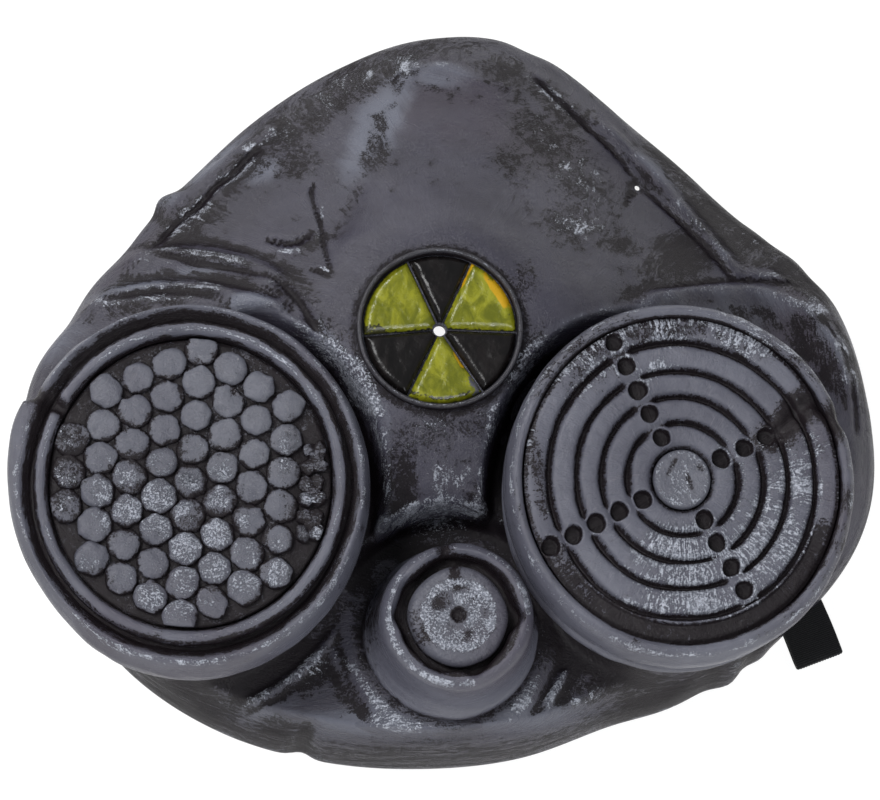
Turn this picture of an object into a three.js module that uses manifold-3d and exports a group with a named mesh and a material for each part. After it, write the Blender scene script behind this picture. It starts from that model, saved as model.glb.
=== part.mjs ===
// A costume respirator mask of cast latex, lying face up on its rim.
// Millimetres. +Z points out of the face, +Y to the nose bridge, +X to the wearer's left cheek.
// Every place below is measured from the vent, the small bore in the middle of the badge.
import * as THREE from "three";
import { mergeVertices } from "three/addons/utils/BufferGeometryUtils.js";
import Module from "manifold-3d";

const wasm = await Module();
wasm.setup();

// Driving sizes of the skin
const REACH = 100; // middling distance from the vent to the rim
const CROWN = 70; // height of the badge seat above the table
const WALL = 2; // thickness of the skin
const FOOT = 3; // width of the flat edge that the mask rests on
const VENT_BORE = 3;
const PINHOLE = 1.5;
const GAP = 0.3; // clearance between neighbouring pieces

// Driving sizes of the badge
const BADGE_RADIUS = 20.3;
const BADGE_RIM = 1.4;
const BADGE_HEIGHT = 2.6;
const SECTOR_HEIGHT = 1.5;
const SECTOR_GAP = 0.5;

// Driving sizes of the two filters, both drums a little taller than wide
const FILTER_STRETCH = 1.05;
const FILTER_SEAT = 50; // height of the skin under a filter
const LEFT_RADIUS = 0.432 * REACH;
const LEFT_HEIGHT = 28;
const RIGHT_RADIUS = 0.42 * REACH;
const RIGHT_HEIGHT = 31;
const DRUM_FOOT = 0.31 * REACH; // radius of a drum where it meets the skin
const LEFT_PLACE = new THREE.Vector2(-0.598 * REACH, -0.406 * REACH);
const RIGHT_PLACE = new THREE.Vector2(0.575 * REACH, -0.384 * REACH);

// Left filter: a rounded ring round a field of hexagonal bosses
const LEFT_RIM = 5.9; // from the drum's side to the ring
const RING_RADIUS = LEFT_RADIUS - LEFT_RIM;
const RING_WIDTH = 3.6;
const RING_HEIGHT = 4.2;
const RING_SEAT = 3; // how far the ring's seat lies below the drum's top
const BOSS_RADIUS = 3.3;
const BOSS_HEIGHT = 2.2;
const BOSS_TAPER = 0.86;
const BOSS_ROOT = 0.4; // how far a boss reaches into the plate
const BOSS_PITCH = 7.25; // from column to column
const BOSS_STEP = 7.75; // from boss to boss in a column
const PLATE_HEIGHT = 1.6;
const FIELD_TURN = -3.6; // degrees

// Right filter: a recessed plate with round grooves and four rows of holes
const RIGHT_RIM = 3.7; // from the drum's side to the recess
const RECESS_RADIUS = RIGHT_RADIUS - RIGHT_RIM;
const RECESS_DEPTH = 5;
const GRILLE_HEIGHT = 3.6;
const GROOVE_WIDTH = 1.6;
const GROOVE_DEPTH = 1.7;
const HUB_RADIUS = 7;
const HOLE_RADIUS = 2.1;
const HOLE_DEPTH = 2.6;

// Outlet valve under the mouth
const VALVE_PLACE = new THREE.Vector2(0.043 * REACH, -0.71 * REACH);
const VALVE_SEAT = 46;
const VALVE_BASE = 0.214 * REACH;
const VALVE_RIM = VALVE_BASE - 4.1;
const VALVE_HEIGHT = 28;
const VALVE_BORE = VALVE_RIM - 3.3;
const VALVE_DEPTH = 6;
const BUTTON_RADIUS = VALVE_BORE - 2;
const BUTTON_HEIGHT = 5.4;
const DIMPLE_RADIUS = 1.9;

// Elastic strap and what holds it
const STRAP_WIDTH = 13;
const STRAP_THICKNESS = 1.1;
const RIVET_RADIUS = 3;
const RIVET_HEIGHT = 1.2;
const RIVET_GAP = 0.45; // the band under a rivet is a little twisted

// Facets
const DIRECTIONS = 76;
const FACE_RINGS = 13;
const WALL_RINGS = 5;
const INNER_STEP = 2; // the inside has every second ring of the outside
const DRUM_SIDES = 32;
const SMALL_SIDES = 26;
const STRAP_STEPS = 2; // from one row of its route to the next

// The skin's section in each direction from the vent. dir is in degrees from +X. rim and turn are
// shares of REACH and of the rim: turn is where the face bends down into the side wall. wall and
// half are heights at turn and at half way out, and lift is how far the rim leaves the table, all
// as shares of CROWN.
const SECTIONS = [
  { dir: 0, rim: 1.18, turn: 0.9, wall: 0.4, half: 0.76, lift: 0 },
  { dir: 15, rim: 1.12, turn: 0.9, wall: 0.38, half: 0.76, lift: 0 },
  { dir: 30, rim: 0.982, turn: 0.9, wall: 0.33, half: 0.76, lift: 0.01 },
  { dir: 45, rim: 0.944, turn: 0.89, wall: 0.3, half: 0.74, lift: 0.02 },
  { dir: 60, rim: 0.956, turn: 0.88, wall: 0.29, half: 0.71, lift: 0 },
  { dir: 75, rim: 1.015, turn: 0.84, wall: 0.36, half: 0.7, lift: 0.01 },
  { dir: 90, rim: 0.985, turn: 0.83, wall: 0.385, half: 0.7, lift: 0.03 },
  { dir: 105, rim: 0.928, turn: 0.85, wall: 0.33, half: 0.69, lift: 0.01 },
  { dir: 120, rim: 0.88, turn: 0.88, wall: 0.26, half: 0.68, lift: 0 },
  { dir: 135, rim: 0.85, turn: 0.89, wall: 0.25, half: 0.7, lift: 0.01 },
  { dir: 150, rim: 0.865, turn: 0.89, wall: 0.27, half: 0.72, lift: 0.03 },
  { dir: 165, rim: 0.93, turn: 0.89, wall: 0.35, half: 0.76, lift: 0 },
  { dir: 180, rim: 1.02, turn: 0.93, wall: 0.5, half: 0.77, lift: 0 },
  { dir: 195, rim: 1.06, turn: 0.96, wall: 0.62, half: 0.76, lift: 0 },
  { dir: 210, rim: 1.055, turn: 0.975, wall: 0.66, half: 0.74, lift: 0 },
  { dir: 225, rim: 1.05, turn: 0.965, wall: 0.6, half: 0.74, lift: 0 },
  { dir: 240, rim: 1.026, turn: 0.94, wall: 0.5, half: 0.74, lift: 0 },
  { dir: 255, rim: 0.995, turn: 0.945, wall: 0.58, half: 0.74, lift: 0 },
  { dir: 270, rim: 0.978, turn: 0.955, wall: 0.66, half: 0.76, lift: 0 },
  { dir: 285, rim: 0.982, turn: 0.95, wall: 0.6, half: 0.76, lift: 0 },
  { dir: 300, rim: 0.992, turn: 0.93, wall: 0.5, half: 0.76, lift: 0 },
  { dir: 315, rim: 1.065, turn: 0.92, wall: 0.48, half: 0.76, lift: 0 },
  { dir: 330, rim: 1.155, turn: 0.92, wall: 0.46, half: 0.76, lift: 0.075 },
  { dir: 345, rim: 1.215, turn: 0.91, wall: 0.42, half: 0.76, lift: 0 },
];

// Folds, ribs and creases of the skin. Each runs from one place by a bend to another, in shares of
// REACH. width is a share of REACH too, and rise, negative for a crease, a share of WALL.
const FOLDS = [
  {
    name: "bridge edge", width: 0.045, rise: 0.6,
    x1: -0.02, y1: 0.77, x2: -0.18, y2: 0.33, x3: -0.24, y3: 0.19,
  },
  {
    name: "brow", width: 0.035, rise: 0.5,
    x1: -0.06, y1: 0.83, x2: 0.1, y2: 0.86, x3: 0.26, y3: 0.76,
  },
  {
    name: "left border rib", width: 0.028, rise: 1,
    x1: -0.36, y1: 0.72, x2: -0.53, y2: 0.61, x3: -0.7, y3: 0.47,
  },
  {
    name: "left wrinkle", width: 0.022, rise: -0.4,
    x1: -0.3, y1: 0.47, x2: -0.32, y2: 0.36, x3: -0.26, y3: 0.16,
  },
  {
    name: "left wrinkle branch", width: 0.02, rise: -0.4,
    x1: -0.44, y1: 0.31, x2: -0.38, y2: 0.25, x3: -0.3, y3: 0.29,
  },
  {
    name: "upper left roll", width: 0.045, rise: 1.7,
    x1: -0.82, y1: 0.3, x2: -0.56, y2: 0.28, x3: -0.4, y3: 0.1,
  },
  {
    name: "lower left roll", width: 0.045, rise: 1.5,
    x1: -0.93, y1: 0.13, x2: -0.55, y2: 0.22, x3: -0.27, y3: -0.12,
  },
  {
    name: "nub", width: 0.03, rise: 1.2,
    x1: -0.46, y1: 0.105, x2: -0.43, y2: 0.1, x3: -0.4, y3: 0.085,
  },
  {
    name: "right border rib", width: 0.028, rise: 1.2,
    x1: 0.43, y1: 0.74, x2: 0.65, y2: 0.55, x3: 0.8, y3: 0.27,
  },
  {
    name: "right fold", width: 0.045, rise: 1.8,
    x1: 0.57, y1: 0.11, x2: 0.9, y2: 0.22, x3: 1.04, y3: -0.05,
  },
  {
    name: "right edge fold", width: 0.035, rise: 1.2,
    x1: 0.8, y1: 0.26, x2: 1.06, y2: 0.2, x3: 1.13, y3: -0.05,
  },
  {
    name: "mouth ledge", width: 0.03, rise: 1.2,
    x1: -0.18, y1: -0.44, x2: -0.03, y2: -0.47, x3: 0.12, y3: -0.43,
  },
  {
    name: "left chin ridge", width: 0.03, rise: 1,
    x1: -0.24, y1: -0.67, x2: -0.27, y2: -0.78, x3: -0.43, y3: -0.84,
  },
  {
    name: "right chin ridge", width: 0.03, rise: 0.8,
    x1: 0.29, y1: -0.76, x2: 0.25, y2: -0.85, x3: 0.2, y3: -0.9,
  },
];

// The strap's way from the right anchor to the folded tab and back through the hollow to the left
// anchor. x, y are shares of REACH, z is the height in millimetres of the band's middle, across the
// direction in plan of its width and tilt how far it stands on edge, in degrees.
const STRAP_ROUTE = [
  { x: 1.13, y: -0.04, z: 10.5, across: 178, tilt: 78 },
  { x: 1.128, y: -0.16, z: 10.5, across: 172, tilt: 78 },
  { x: 1.055, y: -0.3, z: 8, across: 170, tilt: 58 },
  { x: 0.975, y: -0.42, z: 3.6, across: 180, tilt: 20 },
  { x: 0.965, y: -0.5, z: 1, across: 194, tilt: 0 },
  { x: 1.005, y: -0.59, z: 0.9, across: 199, tilt: 0 },
  { x: 1.035, y: -0.67, z: 0.9, across: 201, tilt: 0 },
  { x: 1.041, y: -0.685, z: 1.65, across: 201, tilt: 0 },
  { x: 1.035, y: -0.67, z: 2.4, across: 201, tilt: 0 },
  { x: 1.005, y: -0.59, z: 2.4, across: 201, tilt: 0 },
  { x: 0.95, y: -0.47, z: 2.6, across: 204, tilt: 0 },
  { x: 0.86, y: -0.32, z: 2.2, across: 222, tilt: 0 },
  { x: 0.7, y: -0.2, z: 1, across: 242, tilt: 0 },
  { x: 0.4, y: -0.11, z: 0.9, across: 258, tilt: 0 },
  { x: 0, y: -0.07, z: 0.9, across: 268, tilt: 0 },
  { x: -0.4, y: -0.07, z: 0.9, across: 274, tilt: 0 },
  { x: -0.68, y: -0.1, z: 1.2, across: 284, tilt: 4 },
  { x: -0.86, y: -0.17, z: 5.5, across: 304, tilt: 40 },
  { x: -0.935, y: -0.27, z: 10, across: 345, tilt: 82 },
  { x: -0.934, y: -0.37, z: 10.5, across: 366, tilt: 89 },
];

const RAD = Math.PI / 180;
const mix = (a, b, t) => a + (b - a) * t;
const ease = (t) => {
  const u = Math.min(1, Math.max(0, t));
  return u * u * (3 - 2 * u);
};

// Smooth value between rows b and c of a table, with a and d their neighbours.
const through = (a, b, c, d, t) =>
  0.5 * (2 * b + (c - a) * t + (2 * a - 5 * b + 4 * c - d) * t * t + (3 * b - a - 3 * c + d) * t ** 3);

function sectionAt(dir) {
  const count = SECTIONS.length;
  const place = ((((dir / 360) * count) % count) + count) % count;
  const row = Math.floor(place);
  const pick = (key) => {
    const at = (step) => SECTIONS[(row + step + count) % count][key];
    return through(at(-1), at(0), at(1), at(2), place - row);
  };
  const rim = pick("rim") * REACH;
  return {
    rim,
    turn: pick("turn") * rim,
    wall: pick("wall") * CROWN,
    half: pick("half") * CROWN,
    lift: Math.max(0, pick("lift")) * CROWN,
  };
}

// Height of the face, before the side wall and the seats, at a distance from the vent.
function faceHeight(section, distance) {
  const { rim, turn, wall, half } = section;
  const middle = rim / 2;
  const curve = (r0, z0, m0, r1, z1, m1) => {
    const t = (distance - r0) / (r1 - r0);
    const step = r1 - r0;
    return (
      (2 * t ** 3 - 3 * t * t + 1) * z0 +
      (t ** 3 - 2 * t * t + t) * step * m0 +
      (3 * t * t - 2 * t ** 3) * z1 +
      (t ** 3 - t * t) * step * m1
    );
  };
  const outSlope = (wall - half) / (turn - middle);
  const midSlope = (wall - CROWN) / (turn - BADGE_RADIUS);
  if (distance <= BADGE_RADIUS) return CROWN;
  if (distance <= middle) return curve(BADGE_RADIUS, CROWN, 0, middle, half, midSlope);
  if (distance <= turn) return curve(middle, half, midSlope, turn, wall, outSlope);
  return wall + outSlope * (distance - turn);
}

// The flat places under the drums. The skin drops away from a drum's foot outwards, and rises
// beside the drum only past its full radius.
const SEAT_MARGIN = 2; // how far a filter's flat seat reaches past its foot
const SIDE_GAP = 0.6; // from a drum's side to the skin beside it
const VALVE_DISH = 5.2; // from the valve's foot to the skin that rises beside it
const SEATS = [
  {
    place: LEFT_PLACE,
    height: FILTER_SEAT,
    foot: DRUM_FOOT + SEAT_MARGIN,
    full: LEFT_RADIUS + SIDE_GAP,
    stretch: FILTER_STRETCH,
  },
  {
    place: RIGHT_PLACE,
    height: FILTER_SEAT,
    foot: DRUM_FOOT + SEAT_MARGIN,
    full: RIGHT_RADIUS + SIDE_GAP,
    stretch: FILTER_STRETCH,
  },
  {
    place: VALVE_PLACE,
    height: VALVE_SEAT,
    foot: VALVE_BASE + SIDE_GAP,
    full: VALVE_BASE + VALVE_DISH,
    stretch: 1,
  },
];
const SEAT_FALL = 7; // width over which the skin falls away past a drum's foot
const SEAT_RISE = 4.5; // width over which it rises beside a drum

function seated(x, y, height) {
  return SEATS.reduce((z, seat) => {
    const away = Math.hypot(x - seat.place.x, (y - seat.place.y) / seat.stretch);
    const share = z > seat.height ? (away - seat.full) / SEAT_RISE : (away - seat.foot) / SEAT_FALL;
    return mix(seat.height, z, ease(share));
  }, height);
}

// How far a fold lifts the skin at a place.
function foldRise(fold, x, y) {
  const steps = 10;
  let nearest = Infinity;
  for (let i = 0; i <= steps; i++) {
    const t = i / steps;
    const a = (1 - t) * (1 - t);
    const b = 2 * t * (1 - t);
    const c = t * t;
    const dx = x - REACH * (a * fold.x1 + b * fold.x2 + c * fold.x3);
    const dy = y - REACH * (a * fold.y1 + b * fold.y2 + c * fold.y3);
    nearest = Math.min(nearest, Math.hypot(dx, dy));
  }
  const share = nearest / (REACH * fold.width);
  return WALL * fold.rise * Math.exp(-share * share);
}

// One place of the skin: a direction and a distance from the vent give its outer height.
function skinHeight(dir, distance, folded) {
  const section = sectionAt(dir);
  const x = distance * Math.cos(dir * RAD);
  const y = distance * Math.sin(dir * RAD);
  const down = Math.max(0, (distance - section.turn) / (section.rim - section.turn));
  const drop = Math.sqrt(Math.max(0, 1 - Math.min(1, down) ** 2.2));
  let z = seated(x, y, faceHeight(section, distance));
  if (folded) {
    const free = SEATS.reduce((share, seat) => {
      const away = Math.hypot(x - seat.place.x, (y - seat.place.y) / seat.stretch);
      return share * ease((away - seat.full - 0.5) / 2);
    }, 1);
    const clear = ease((distance - BADGE_RADIUS - 1) / 4);
    z += free * clear * FOLDS.reduce((sum, fold) => sum + foldRise(fold, x, y), 0);
  }
  return z * drop + section.lift * Math.min(1, down) ** 2;
}

const skinPoint = (dir, distance, folded) =>
  new THREE.Vector3(
    distance * Math.cos(dir * RAD),
    distance * Math.sin(dir * RAD),
    skinHeight(dir, distance, folded),
  );

// The inside of the skin lies WALL behind the unfolded outside.
function insidePoint(dir, distance) {
  const reach = 0.5;
  const here = skinPoint(dir, distance, false);
  const out = skinPoint(dir, distance - reach, false).sub(here).negate();
  const turn = reach / Math.max(distance, 1) / RAD;
  const round = skinPoint(dir + turn, distance, false).sub(here);
  const normal = out.cross(round).normalize();
  return here.addScaledVector(normal, -WALL);
}

function ringDistances(dir) {
  const { rim, turn } = sectionAt(dir);
  const rings = [VENT_BORE / 2];
  for (let i = 0; i < FACE_RINGS; i++) {
    rings.push(mix(BADGE_RADIUS + 1, turn, i / (FACE_RINGS - 1)));
  }
  for (let i = 1; i <= WALL_RINGS; i++) {
    rings.push(turn + (rim - turn) * Math.sin((i / WALL_RINGS) * 90 * RAD));
  }
  return rings;
}

// Closed strip of rings of points, each joined to the next, the last to the first.
function ringSolid(loops) {
  const across = loops[0].length;
  const positions = loops.flat().flatMap((p) => [p.x, p.y, p.z]);
  const index = [];
  loops.forEach((_, i) => {
    const next = (i + 1) % loops.length;
    for (let j = 0; j < across; j++) {
      const k = (j + 1) % across;
      const a = i * across + j;
      const b = i * across + k;
      const c = next * across + j;
      const d = next * across + k;
      index.push(a, c, d, a, d, b);
    }
  });
  const geometry = new THREE.BufferGeometry();
  geometry.setAttribute("position", new THREE.Float32BufferAttribute(positions, 3));
  geometry.setIndex(index);
  return geometry;
}

function solidFrom(geometry) {
  const bare = geometry.clone();
  bare.deleteAttribute("normal");
  bare.deleteAttribute("uv");
  const merged = mergeVertices(bare, 1e-4);
  return new wasm.Manifold(
    new wasm.Mesh({
      numProp: 3,
      vertProperties: new Float32Array(merged.attributes.position.array),
      triVerts: new Uint32Array(merged.index.array),
    }),
  );
}

function geometryFrom(solid) {
  const mesh = solid.getMesh();
  const geometry = new THREE.BufferGeometry();
  geometry.setAttribute("position", new THREE.BufferAttribute(mesh.vertProperties, 3));
  geometry.setIndex(new THREE.BufferAttribute(mesh.triVerts, 1));
  return geometry;
}

// A pin standing along Z, for cutting round holes.
function pin(x, y, low, high, radius, sides) {
  const shape = new THREE.CylinderGeometry(radius, radius, high - low, sides);
  shape.rotateX(Math.PI / 2);
  shape.translate(x, y, (low + high) / 2);
  return solidFrom(shape);
}

// A turned shape from [radius, height] pairs, standing along Z.
function turned(profile, sides) {
  const points = profile.map(([radius, height]) => new THREE.Vector2(radius, height));
  const shape = new THREE.LatheGeometry(points, sides);
  shape.rotateX(Math.PI / 2);
  return shape;
}

function faceShell() {
  const dirs = Array.from({ length: DIRECTIONS }, (_, i) => (i * 360) / DIRECTIONS);
  const ringsOf = dirs.map(ringDistances);
  const ringCount = ringsOf[0].length;
  const loops = [];
  for (let ring = 0; ring < ringCount; ring++) {
    loops.push(dirs.map((dir, i) => skinPoint(dir, ringsOf[i][ring], true)));
  }
  const inner = [];
  for (let ring = ringCount - 2; ring > 0; ring -= INNER_STEP) inner.push(ring);
  const foot = dirs.map((dir, i) => {
    const last = ringsOf[i][ringCount - 1];
    const point = skinPoint(dir, last - FOOT, false);
    point.z = skinHeight(dir, last, false);
    return point;
  });
  loops.push(foot);
  for (const ring of inner) {
    loops.push(dirs.map((dir, i) => insidePoint(dir, ringsOf[i][ring])));
  }
  loops.push(dirs.map((dir) => skinPoint(dir, VENT_BORE / 2, false).setZ(CROWN - WALL)));
  const shell = solidFrom(ringSolid(loops));
  const hole = pin(0.545 * REACH, 0.506 * REACH, 0, CROWN, PINHOLE / 2, 8);
  return geometryFrom(shell.subtract(hole));
}

function leftHousing() {
  const r = LEFT_RADIUS;
  const h = LEFT_HEIGHT;
  const seat = h - RING_SEAT;
  const profile = [
    [0, 0],
    [DRUM_FOOT, 0],
    [0.9 * r, 0.24 * h],
    [0.985 * r, 0.4 * h],
    [r, 0.55 * h],
    [0.993 * r, 0.75 * h],
    [0.965 * r, 0.92 * h],
    [0.938 * r, h],
    [RING_RADIUS + 1.3, seat + 1.2],
    [RING_RADIUS + 0.5, seat],
    [0, seat],
  ];
  return turned(profile, DRUM_SIDES);
}

function leftRing() {
  const out = RING_RADIUS;
  const inside = RING_RADIUS - RING_WIDTH;
  const h = RING_HEIGHT;
  const profile = [
    [inside, 0],
    [out, 0],
    [out, 0.62 * h],
    [out - 0.28 * RING_WIDTH, h],
    [inside + 0.32 * RING_WIDTH, h],
    [inside, 0.7 * h],
    [inside, 0],
  ];
  return turned(profile, DRUM_SIDES);
}

// Rows of bosses, each column a little turned, left out where the ring would cut more than a corner.
function bossPlaces() {
  const edge = RING_RADIUS - RING_WIDTH - GAP - 0.72 * BOSS_RADIUS;
  const columns = Math.ceil(edge / BOSS_PITCH);
  const rows = Math.ceil(edge / BOSS_STEP) + 1;
  const places = [];
  for (let i = -columns; i <= columns; i++) {
    for (let j = -rows; j <= rows; j++) {
      const place = new THREE.Vector2(i * BOSS_PITCH, (j + (i % 2 ? 0.5 : 0)) * BOSS_STEP);
      place.rotateAround(new THREE.Vector2(0, 0), FIELD_TURN * RAD);
      if (place.length() < edge) places.push(place);
    }
  }
  return places;
}

function leftHoneycomb() {
  const field = RING_RADIUS - RING_WIDTH - GAP;
  const profile = [
    [0, 0],
    [field, 0],
    [field, PLATE_HEIGHT],
    [0, PLATE_HEIGHT],
  ];
  let solid = solidFrom(turned(profile, DRUM_SIDES));
  for (const place of bossPlaces()) {
    const tall = BOSS_HEIGHT + BOSS_ROOT;
    const boss = new THREE.CylinderGeometry(BOSS_TAPER * BOSS_RADIUS, BOSS_RADIUS, tall, 6);
    boss.rotateX(Math.PI / 2);
    boss.rotateZ((30 + FIELD_TURN) * RAD);
    boss.translate(place.x, place.y, PLATE_HEIGHT - BOSS_ROOT + tall / 2);
    solid = solid.add(solidFrom(boss));
  }
  const high = PLATE_HEIGHT + BOSS_HEIGHT + 1;
  const trim = turned([[0, -1], [field, -1], [field, high], [0, high]], DRUM_SIDES);
  return geometryFrom(solid.intersect(solidFrom(trim)));
}

function rightHousing() {
  const r = RIGHT_RADIUS;
  const h = RIGHT_HEIGHT;
  const profile = [
    [0, 0],
    [DRUM_FOOT, 0],
    [0.9 * r, 0.16 * h],
    [0.98 * r, 0.25 * h],
    [0.98 * r, 0.36 * h],
    [0.945 * r, 0.42 * h],
    [0.955 * r, 0.5 * h],
    [r, 0.58 * h],
    [r, 0.86 * h],
    [0.975 * r, 0.97 * h],
    [0.95 * r, h],
    [RECESS_RADIUS + 0.4, h - 0.8],
    [RECESS_RADIUS, h - RECESS_DEPTH],
    [0, h - RECESS_DEPTH],
  ];
  return turned(profile, DRUM_SIDES);
}

// Round grooves of the grille, as shares of the recess radius, from the hub out.
const GROOVES = [0.35, 0.512, 0.668, 0.842];
// Rows of holes: direction in degrees, and how many holes from the hub out.
const HOLE_ROWS = [
  { dir: 26.5, count: 3 },
  { dir: 116.5, count: 5 },
  { dir: 207, count: 5 },
  { dir: 299.5, count: 4 },
];
const FIRST_HOLE = 0.28;
const HOLE_STEP = 0.163;

function rightGrille() {
  const out = RECESS_RADIUS - GAP;
  const bore = HUB_RADIUS + GAP;
  const top = GRILLE_HEIGHT;
  const profile = [
    [bore, 0],
    [out, 0],
    [out, top - 0.9],
    [out - 1.2, top],
  ];
  for (const share of [...GROOVES].reverse()) {
    const middle = share * RECESS_RADIUS;
    profile.push([middle + GROOVE_WIDTH / 2, top]);
    profile.push([middle, top - GROOVE_DEPTH]);
    profile.push([middle - GROOVE_WIDTH / 2, top]);
  }
  profile.push([bore + 0.8, top], [bore, top - 0.8], [bore, 0]);
  let solid = solidFrom(turned(profile, DRUM_SIDES));
  for (const row of HOLE_ROWS) {
    for (let i = 0; i < row.count; i++) {
      const away = RECESS_RADIUS * (FIRST_HOLE + i * HOLE_STEP);
      const x = away * Math.cos(row.dir * RAD);
      const y = away * Math.sin(row.dir * RAD);
      solid = solid.subtract(pin(x, y, top - HOLE_DEPTH, top + 1, HOLE_RADIUS, 8));
    }
  }
  return geometryFrom(solid);
}

function rightHub() {
  const r = HUB_RADIUS;
  const h = GRILLE_HEIGHT + 0.4;
  const profile = [
    [0, 0],
    [r, 0],
    [r, h - 0.9],
    [0.84 * r, h],
    [0.5 * r, h + 0.2],
    [0, h - 0.5],
  ];
  return turned(profile, SMALL_SIDES);
}

function valveHousing() {
  const base = VALVE_BASE;
  const h = VALVE_HEIGHT;
  const profile = [
    [0, 0],
    [base, 0],
    [base, 0.14 * h],
    [mix(base, VALVE_RIM, 0.35), 0.24 * h],
    [mix(base, VALVE_RIM, 0.62), 0.44 * h],
    [mix(base, VALVE_RIM, 0.86), 0.78 * h],
    [VALVE_RIM, 0.92 * h],
    [VALVE_RIM - 1, h],
    [VALVE_BORE + 0.9, h],
    [VALVE_BORE, h - 0.9],
    [VALVE_BORE, h - VALVE_DEPTH],
    [0, h - VALVE_DEPTH],
  ];
  return turned(profile, SMALL_SIDES);
}

function valveButton() {
  const r = BUTTON_RADIUS;
  const h = BUTTON_HEIGHT;
  const profile = [
    [0, 0],
    [r, 0],
    [r, 0.55 * h],
    [0.93 * r, 0.82 * h],
    [0.8 * r, 0.93 * h],
    [0.45 * r, h],
    [DIMPLE_RADIUS, h],
    [0, h - 0.9],
  ];
  return turned(profile, SMALL_SIDES);
}

function badgeRing() {
  const out = BADGE_RADIUS;
  const inside = BADGE_RADIUS - BADGE_RIM;
  const h = BADGE_HEIGHT;
  const profile = [
    [inside, 0],
    [out, 0],
    [out, 0.6 * h],
    [out - 0.3 * BADGE_RIM, h],
    [inside + 0.25 * BADGE_RIM, h],
    [inside, 0.7 * h],
    [inside, 0],
  ];
  return turned(profile, SMALL_SIDES);
}

// The badge's six fields, from one boundary to the next in degrees. The dark ones lie between.
const BADGE_FIELDS = [
  { name: "badge_field_right", from: -1, to: 66, dark: false },
  { name: "badge_field_top", from: 66, to: 115, dark: true },
  { name: "badge_field_left", from: 115, to: 186, dark: false },
  { name: "badge_field_lower_left", from: 186, to: 245, dark: true },
  { name: "badge_field_bottom", from: 245, to: 304, dark: false },
  { name: "badge_field_lower_right", from: 304, to: 359, dark: true },
];

// A cushion-shaped wedge of the badge, clear of the vent, its ring and its neighbours.
function badgeField(field) {
  const out = BADGE_RADIUS - BADGE_RIM - GAP;
  const middle = ((field.from + field.to) / 2) * RAD;
  const half = ((field.to - field.from) / 2) * RAD;
  const tip = (VENT_BORE / 2 + GAP) / Math.sin(Math.min(half, Math.PI / 2));
  const steps = 6;
  const outline = (inset) => {
    const side = (SECTOR_GAP / 2 + inset) / Math.sin(half);
    const near = Math.max(tip + inset, side + inset);
    const points = [];
    const swing = half - Math.asin((SECTOR_GAP / 2 + inset) / (out - inset));
    const close = Math.max(0.05, half - Math.asin(Math.min(0.98, (SECTOR_GAP / 2 + inset) / near)));
    for (let i = 0; i <= steps; i++) {
      const at = middle - swing + (2 * swing * i) / steps;
      points.push(new THREE.Vector2((out - inset) * Math.cos(at), (out - inset) * Math.sin(at)));
    }
    points.push(new THREE.Vector2(near * Math.cos(middle + close), near * Math.sin(middle + close)));
    points.push(new THREE.Vector2(near * Math.cos(middle - close), near * Math.sin(middle - close)));
    return points;
  };
  const base = outline(0);
  const top = outline(1);
  const count = base.length;
  const positions = [];
  for (const [points, z] of [[base, 0], [base, 0.5 * SECTOR_HEIGHT], [top, SECTOR_HEIGHT]]) {
    for (const p of points) positions.push(p.x, p.y, z);
  }
  const index = [];
  for (let level = 0; level < 2; level++) {
    for (let i = 0; i < count; i++) {
      const a = level * count + i;
      const b = level * count + ((i + 1) % count);
      index.push(a, b, b + count, a, b + count, a + count);
    }
  }
  for (const [low, high, z] of [[base, 0, 0], [top, 2, SECTOR_HEIGHT]]) {
    for (const [a, b, c] of THREE.ShapeUtils.triangulateShape(low, [])) {
      const start = high * count;
      if (z) index.push(start + a, start + b, start + c);
      else index.push(start + a, start + c, start + b);
    }
  }
  const geometry = new THREE.BufferGeometry();
  geometry.setAttribute("position", new THREE.Float32BufferAttribute(positions, 3));
  geometry.setIndex(index);
  return geometry;
}

// Places along the strap, smoothed through the rows of its route, each with its directions.
function strapStations() {
  const last = STRAP_ROUTE.length - 1;
  const stations = [];
  for (let row = 0; row < last; row++) {
    const at = (step, key) => STRAP_ROUTE[Math.min(last, Math.max(0, row + step))][key];
    for (let i = 0; i < STRAP_STEPS; i++) {
      const pick = (key) => through(at(-1, key), at(0, key), at(1, key), at(2, key), i / STRAP_STEPS);
      stations.push({ x: pick("x"), y: pick("y"), z: pick("z"), across: pick("across"), tilt: pick("tilt") });
    }
  }
  stations.push(STRAP_ROUTE[last]);
  const middles = stations.map((s) => new THREE.Vector3(s.x * REACH, s.y * REACH, s.z));
  return stations.map((s, i) => {
    const flat = Math.cos(s.tilt * RAD);
    const across = new THREE.Vector3(
      flat * Math.cos(s.across * RAD),
      flat * Math.sin(s.across * RAD),
      Math.sin(s.tilt * RAD),
    );
    const before = middles[Math.max(0, i - 1)];
    const after = middles[Math.min(middles.length - 1, i + 1)];
    const along = after.clone().sub(before).normalize();
    const thick = along.clone().cross(across).normalize();
    return { middle: middles[i], thick, wide: thick.clone().cross(along).normalize() };
  });
}

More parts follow.
